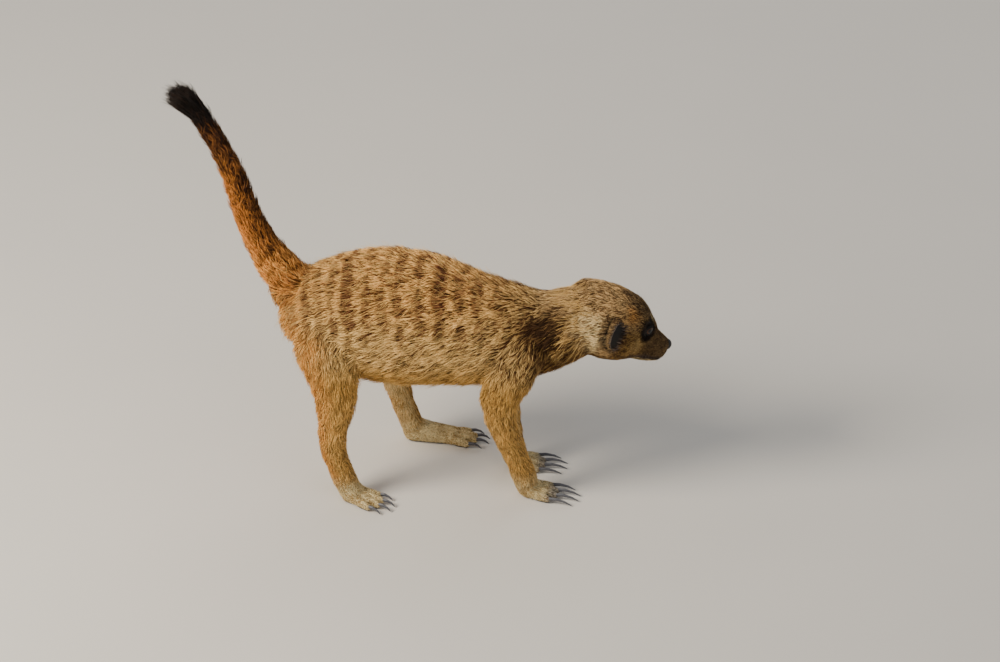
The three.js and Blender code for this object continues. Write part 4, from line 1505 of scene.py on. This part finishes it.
class MEERKAT_OT_ears(bpy.types.Operator):
    """Makes both ears, thin dark cups close to the head, furred on their outer side"""

    bl_idname = "meerkat.ears"
    bl_label = "Ears"

    def execute(self, context):
        skin, fur = self.skin_material(context.scene.meerkat_head), coat_material()
        for hand in HANDS:
            mesh = rounded_copy([f"ear_{hand}"], 0.35, 5)
            set_vertices(mesh, tilted(vertex_array(mesh)))
            add_attribute(mesh, "cup", "FLOAT", ear_cup(vertex_array(mesh), vertex_array(mesh, "normal")))
            piece = new_piece(f"pinna_{hand}", mesh, skin, "ear_skin")
            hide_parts(f"ear_{hand}")
            fleece = Fleece(mesh, context.scene.meerkat_coat, EAR_FUR, coat_flow, self.outer)
            fleece.grow_short(f"coat_ear_{hand}", fur)
        return {"FINISHED"}

    def outer(self, points, normals):
        return ear_cup(points, normals) < 0.12

    def skin_material(self, settings):
        shader = Shader("ear_skin")
        cup = shader.number("cup")
        fold = shader.noise(shader.place(), 900.0, detail=3.0)
        inside = shader.mix(fold, rgba([c * 0.35 for c in settings.leather]), rgba(settings.leather))
        rim = shader.mix(fold.step(0.3, 0.7), rgba(paint(52, 42, 33)), rgba(paint(108, 92, 76)))
        colour = shader.mix(cup.step(0.45, 0.62), rim, inside)
        bump = shader.bump(fold, 0.5, 0.0004)
        return shader.finish(base_color=colour, roughness=0.62 + 0.1 * fold, normal=bump)


class MEERKAT_OT_nose(bpy.types.Operator):
    """Makes the bare nose with its nostrils"""

    bl_idname = "meerkat.nose"
    bl_label = "Nose"

    def execute(self, context):
        leather = [c * 0.6 for c in context.scene.meerkat_head.leather]
        material = leather_material("nose_skin", leather, 2600.0, 0.6, 0.36)
        mesh = rounded_copy(["nose"], 0.2, 5)
        points = vertex_array(mesh)
        x, y, z = to_head(points).T
        groove = bell((y, 0, 0.35)) * ramps((z, -6.5, -8), (x, 57.5, 59))
        set_vertices(mesh, points - vertex_array(mesh, "normal") * (groove * 0.5 * MM)[:, None])
        piece = new_piece("nose_pad", mesh, material, "nose_skin")
        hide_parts("nose")
        return {"FINISHED"}


class MEERKAT_OT_claws(bpy.types.Operator):
    """Makes the four claws of each foot"""

    bl_idname = "meerkat.claws"
    bl_label = "Claws"

    def execute(self, context):
        material = horn_material(context.scene.meerkat_head)
        for foot, names in CLAWS.items():
            piece = new_piece(f"claws_{foot}", rounded_copy(names, 0.22, 3), material, "claw_horn")
            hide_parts(*names)
        return {"FINISHED"}


WHISKER = {"at": (0, 0.2, 0.45, 0.7, 1), "width": (1, 0.85, 0.6), "thick": 0.2, "droop": 0.12, "under": 0.3}


class MEERKAT_OT_whiskers(bpy.types.Operator):
    """Sets the whiskers of the muzzle and the brows"""

    bl_idname = "meerkat.whiskers"
    bl_label = "Whiskers"

    def execute(self, context):
        roots, ways, lengths = self.drawn()
        tree, normals = tree_of(bpy.data.objects["skin"].data)
        start, normal = settle(tree, normals, from_head(roots))
        way = unit(ways @ HEAD_AXES + normal * 0.35)
        length = lengths[:, None] * context.scene.meerkat_head.whisker
        start = start - normal * WHISKER["under"] * MM
        drop = np.array([0, 0, -1.0]) * length * WHISKER["droop"]
        path = np.stack([start + way * length * t + drop * t * t for t in WHISKER["at"]], 1)
        up = np.repeat(normal[:, None], path.shape[1], axis=1)
        mesh, _ = strand_mesh(path, up, np.full(len(path), WHISKER["thick"] * MM), WHISKER["width"])
        along = along_strand(np.array(WHISKER["at"]))
        add_attribute(mesh, "along", "FLOAT", np.tile(along, len(path)))
        new_piece("whiskers", mesh, hair_material("whisker", paint(60, 46, 36)), "head_coat")
        return {"FINISHED"}

    def drawn(self):
        """The root, way and length of each whisker: three rows at the muzzle and one over each eye."""
        draw = np.random.default_rng(11)
        roots, ways, lengths = [], [], []
        for side in HANDS.values():
            for i in range(18):
                row, place = divmod(i, 6)
                roots.append((51 - place * 2.1, side * (7 + place * 0.9), -10.5 - row * 2.2))
                fall = -0.05 - 0.12 * row + draw.normal(0, 0.1)
                ways.append((-0.55 - 0.06 * place, side * (0.9 + 0.1 * row), fall))
                lengths.append((0.45 + 0.1 * place) * draw.uniform(0.8, 1.05))
            for i in range(6):
                roots.append((33 - i * 1.4, side * (9 + i * 0.6), 13.5 + i * 0.4))
                ways.append((-0.1 - 0.08 * i, side * 0.3, 1.0))
                lengths.append(0.42 * draw.uniform(0.7, 1.1))
        return np.array(roots, float), unit(np.array(ways, float)), np.array(lengths)


# ---------------------------------------------------------------- stage

LOOK_AT = (49.6, 0.0, 124.7)
LIGHTS_AT = (0, 0, 0.12)
# Each light's power setting, size in metres, place and colour.
LIGHTS = {
    "key": ("key", 0.7, (-1.1, -0.62, 1.05), (1.0, 0.92, 0.8)),
    "fill": ("fill", 1.6, (1.3, -1.2, 0.9), (0.9, 0.95, 1.0)),
    "back": ("fill", 1.2, (0.4, 1.5, 1.2), (1.0, 1.0, 1.0)),
}
SKY = (0.92, 0.95, 1.0, 1)
SKY_STRENGTH = 0.4


def aimed(name, data, place, target):
    thing = bpy.data.objects.new(name, data)
    bpy.context.scene.collection.objects.link(thing)
    thing.location = place
    thing.rotation_mode = "QUATERNION"
    thing.rotation_quaternion = (Vector(place) - Vector(target)).to_track_quat("Z", "Y")
    return thing


def soft_light(name, power, size, place, colour):
    data = bpy.data.lights.new(name, "AREA")
    data.shape = "DISK"
    data.energy = power
    data.size = size
    data.color = colour
    aimed(name, data, place, LIGHTS_AT)


class MEERKAT_OT_stage(bpy.types.Operator):
    """Lays the floor and sets the lights and the camera"""

    bl_idname = "meerkat.stage"
    bl_label = "Stage"

    def execute(self, context):
        settings = context.scene.meerkat_stage
        bm = bmesh.new()
        bmesh.ops.create_grid(bm, x_segments=2, y_segments=2, size=settings.floor_size / 2)
        floor = bpy.data.objects.new("floor", mesh_of(bm))
        context.scene.collection.objects.link(floor)
        floor.data.materials.append(floor_material(settings))
        for name, (setting, *rest) in LIGHTS.items():
            soft_light(name, getattr(settings, setting), *rest)
        world = bpy.data.worlds.new("studio")
        context.scene.world = world
        world.use_nodes = True
        sky = world.node_tree.nodes["Background"].inputs
        sky["Color"].default_value = SKY
        sky["Strength"].default_value = SKY_STRENGTH
        camera = bpy.data.cameras.new("camera")
        camera.sensor_width = 36
        camera.clip_end = 50
        camera.lens = settings.lens
        middle = Vector(from_body([LOOK_AT])[0])
        a, e = settings.azimuth, settings.elevation
        back = Vector((math.sin(a) * math.cos(e), -math.cos(a) * math.cos(e), math.sin(e)))
        context.scene.camera = aimed("camera", camera, middle + back * settings.distance, middle)
        return {"FINISHED"}


# ---------------------------------------------------------------- panel

STEPS = (MEERKAT_OT_stage, MEERKAT_OT_skin, MEERKAT_OT_coat, MEERKAT_OT_eyes, MEERKAT_OT_lids,
         MEERKAT_OT_ears, MEERKAT_OT_nose, MEERKAT_OT_claws, MEERKAT_OT_whiskers)


class MEERKAT_PT_steps(bpy.types.Panel):
    """Lists the steps and their settings"""

    bl_idname = "MEERKAT_PT_steps"
    bl_label = "Meerkat"
    bl_space_type = "VIEW_3D"
    bl_region_type = "UI"
    bl_category = "Meerkat"

    def draw(self, context):
        for step in STEPS:
            self.layout.operator(step.bl_idname)
        for name, group in GROUPS.items():
            box = self.layout.box()
            for setting in group.__annotations__:
                box.prop(getattr(context.scene, name), setting)


CLASSES = (*GROUPS.values(), *STEPS, MEERKAT_PT_steps)


def register():
    for each in CLASSES:
        bpy.utils.register_class(each)
    for name, group in GROUPS.items():
        setattr(bpy.types.Scene, name, PointerProperty(type=group))


def unregister():
    for name in GROUPS:
        delattr(bpy.types.Scene, name)
    for each in reversed(CLASSES):
        bpy.utils.unregister_class(each)


def main():
    register()
    for step in STEPS:
        group, name = step.bl_idname.split(".")
        getattr(getattr(bpy.ops, group), name)()


if __name__ == "__main__":
    main()
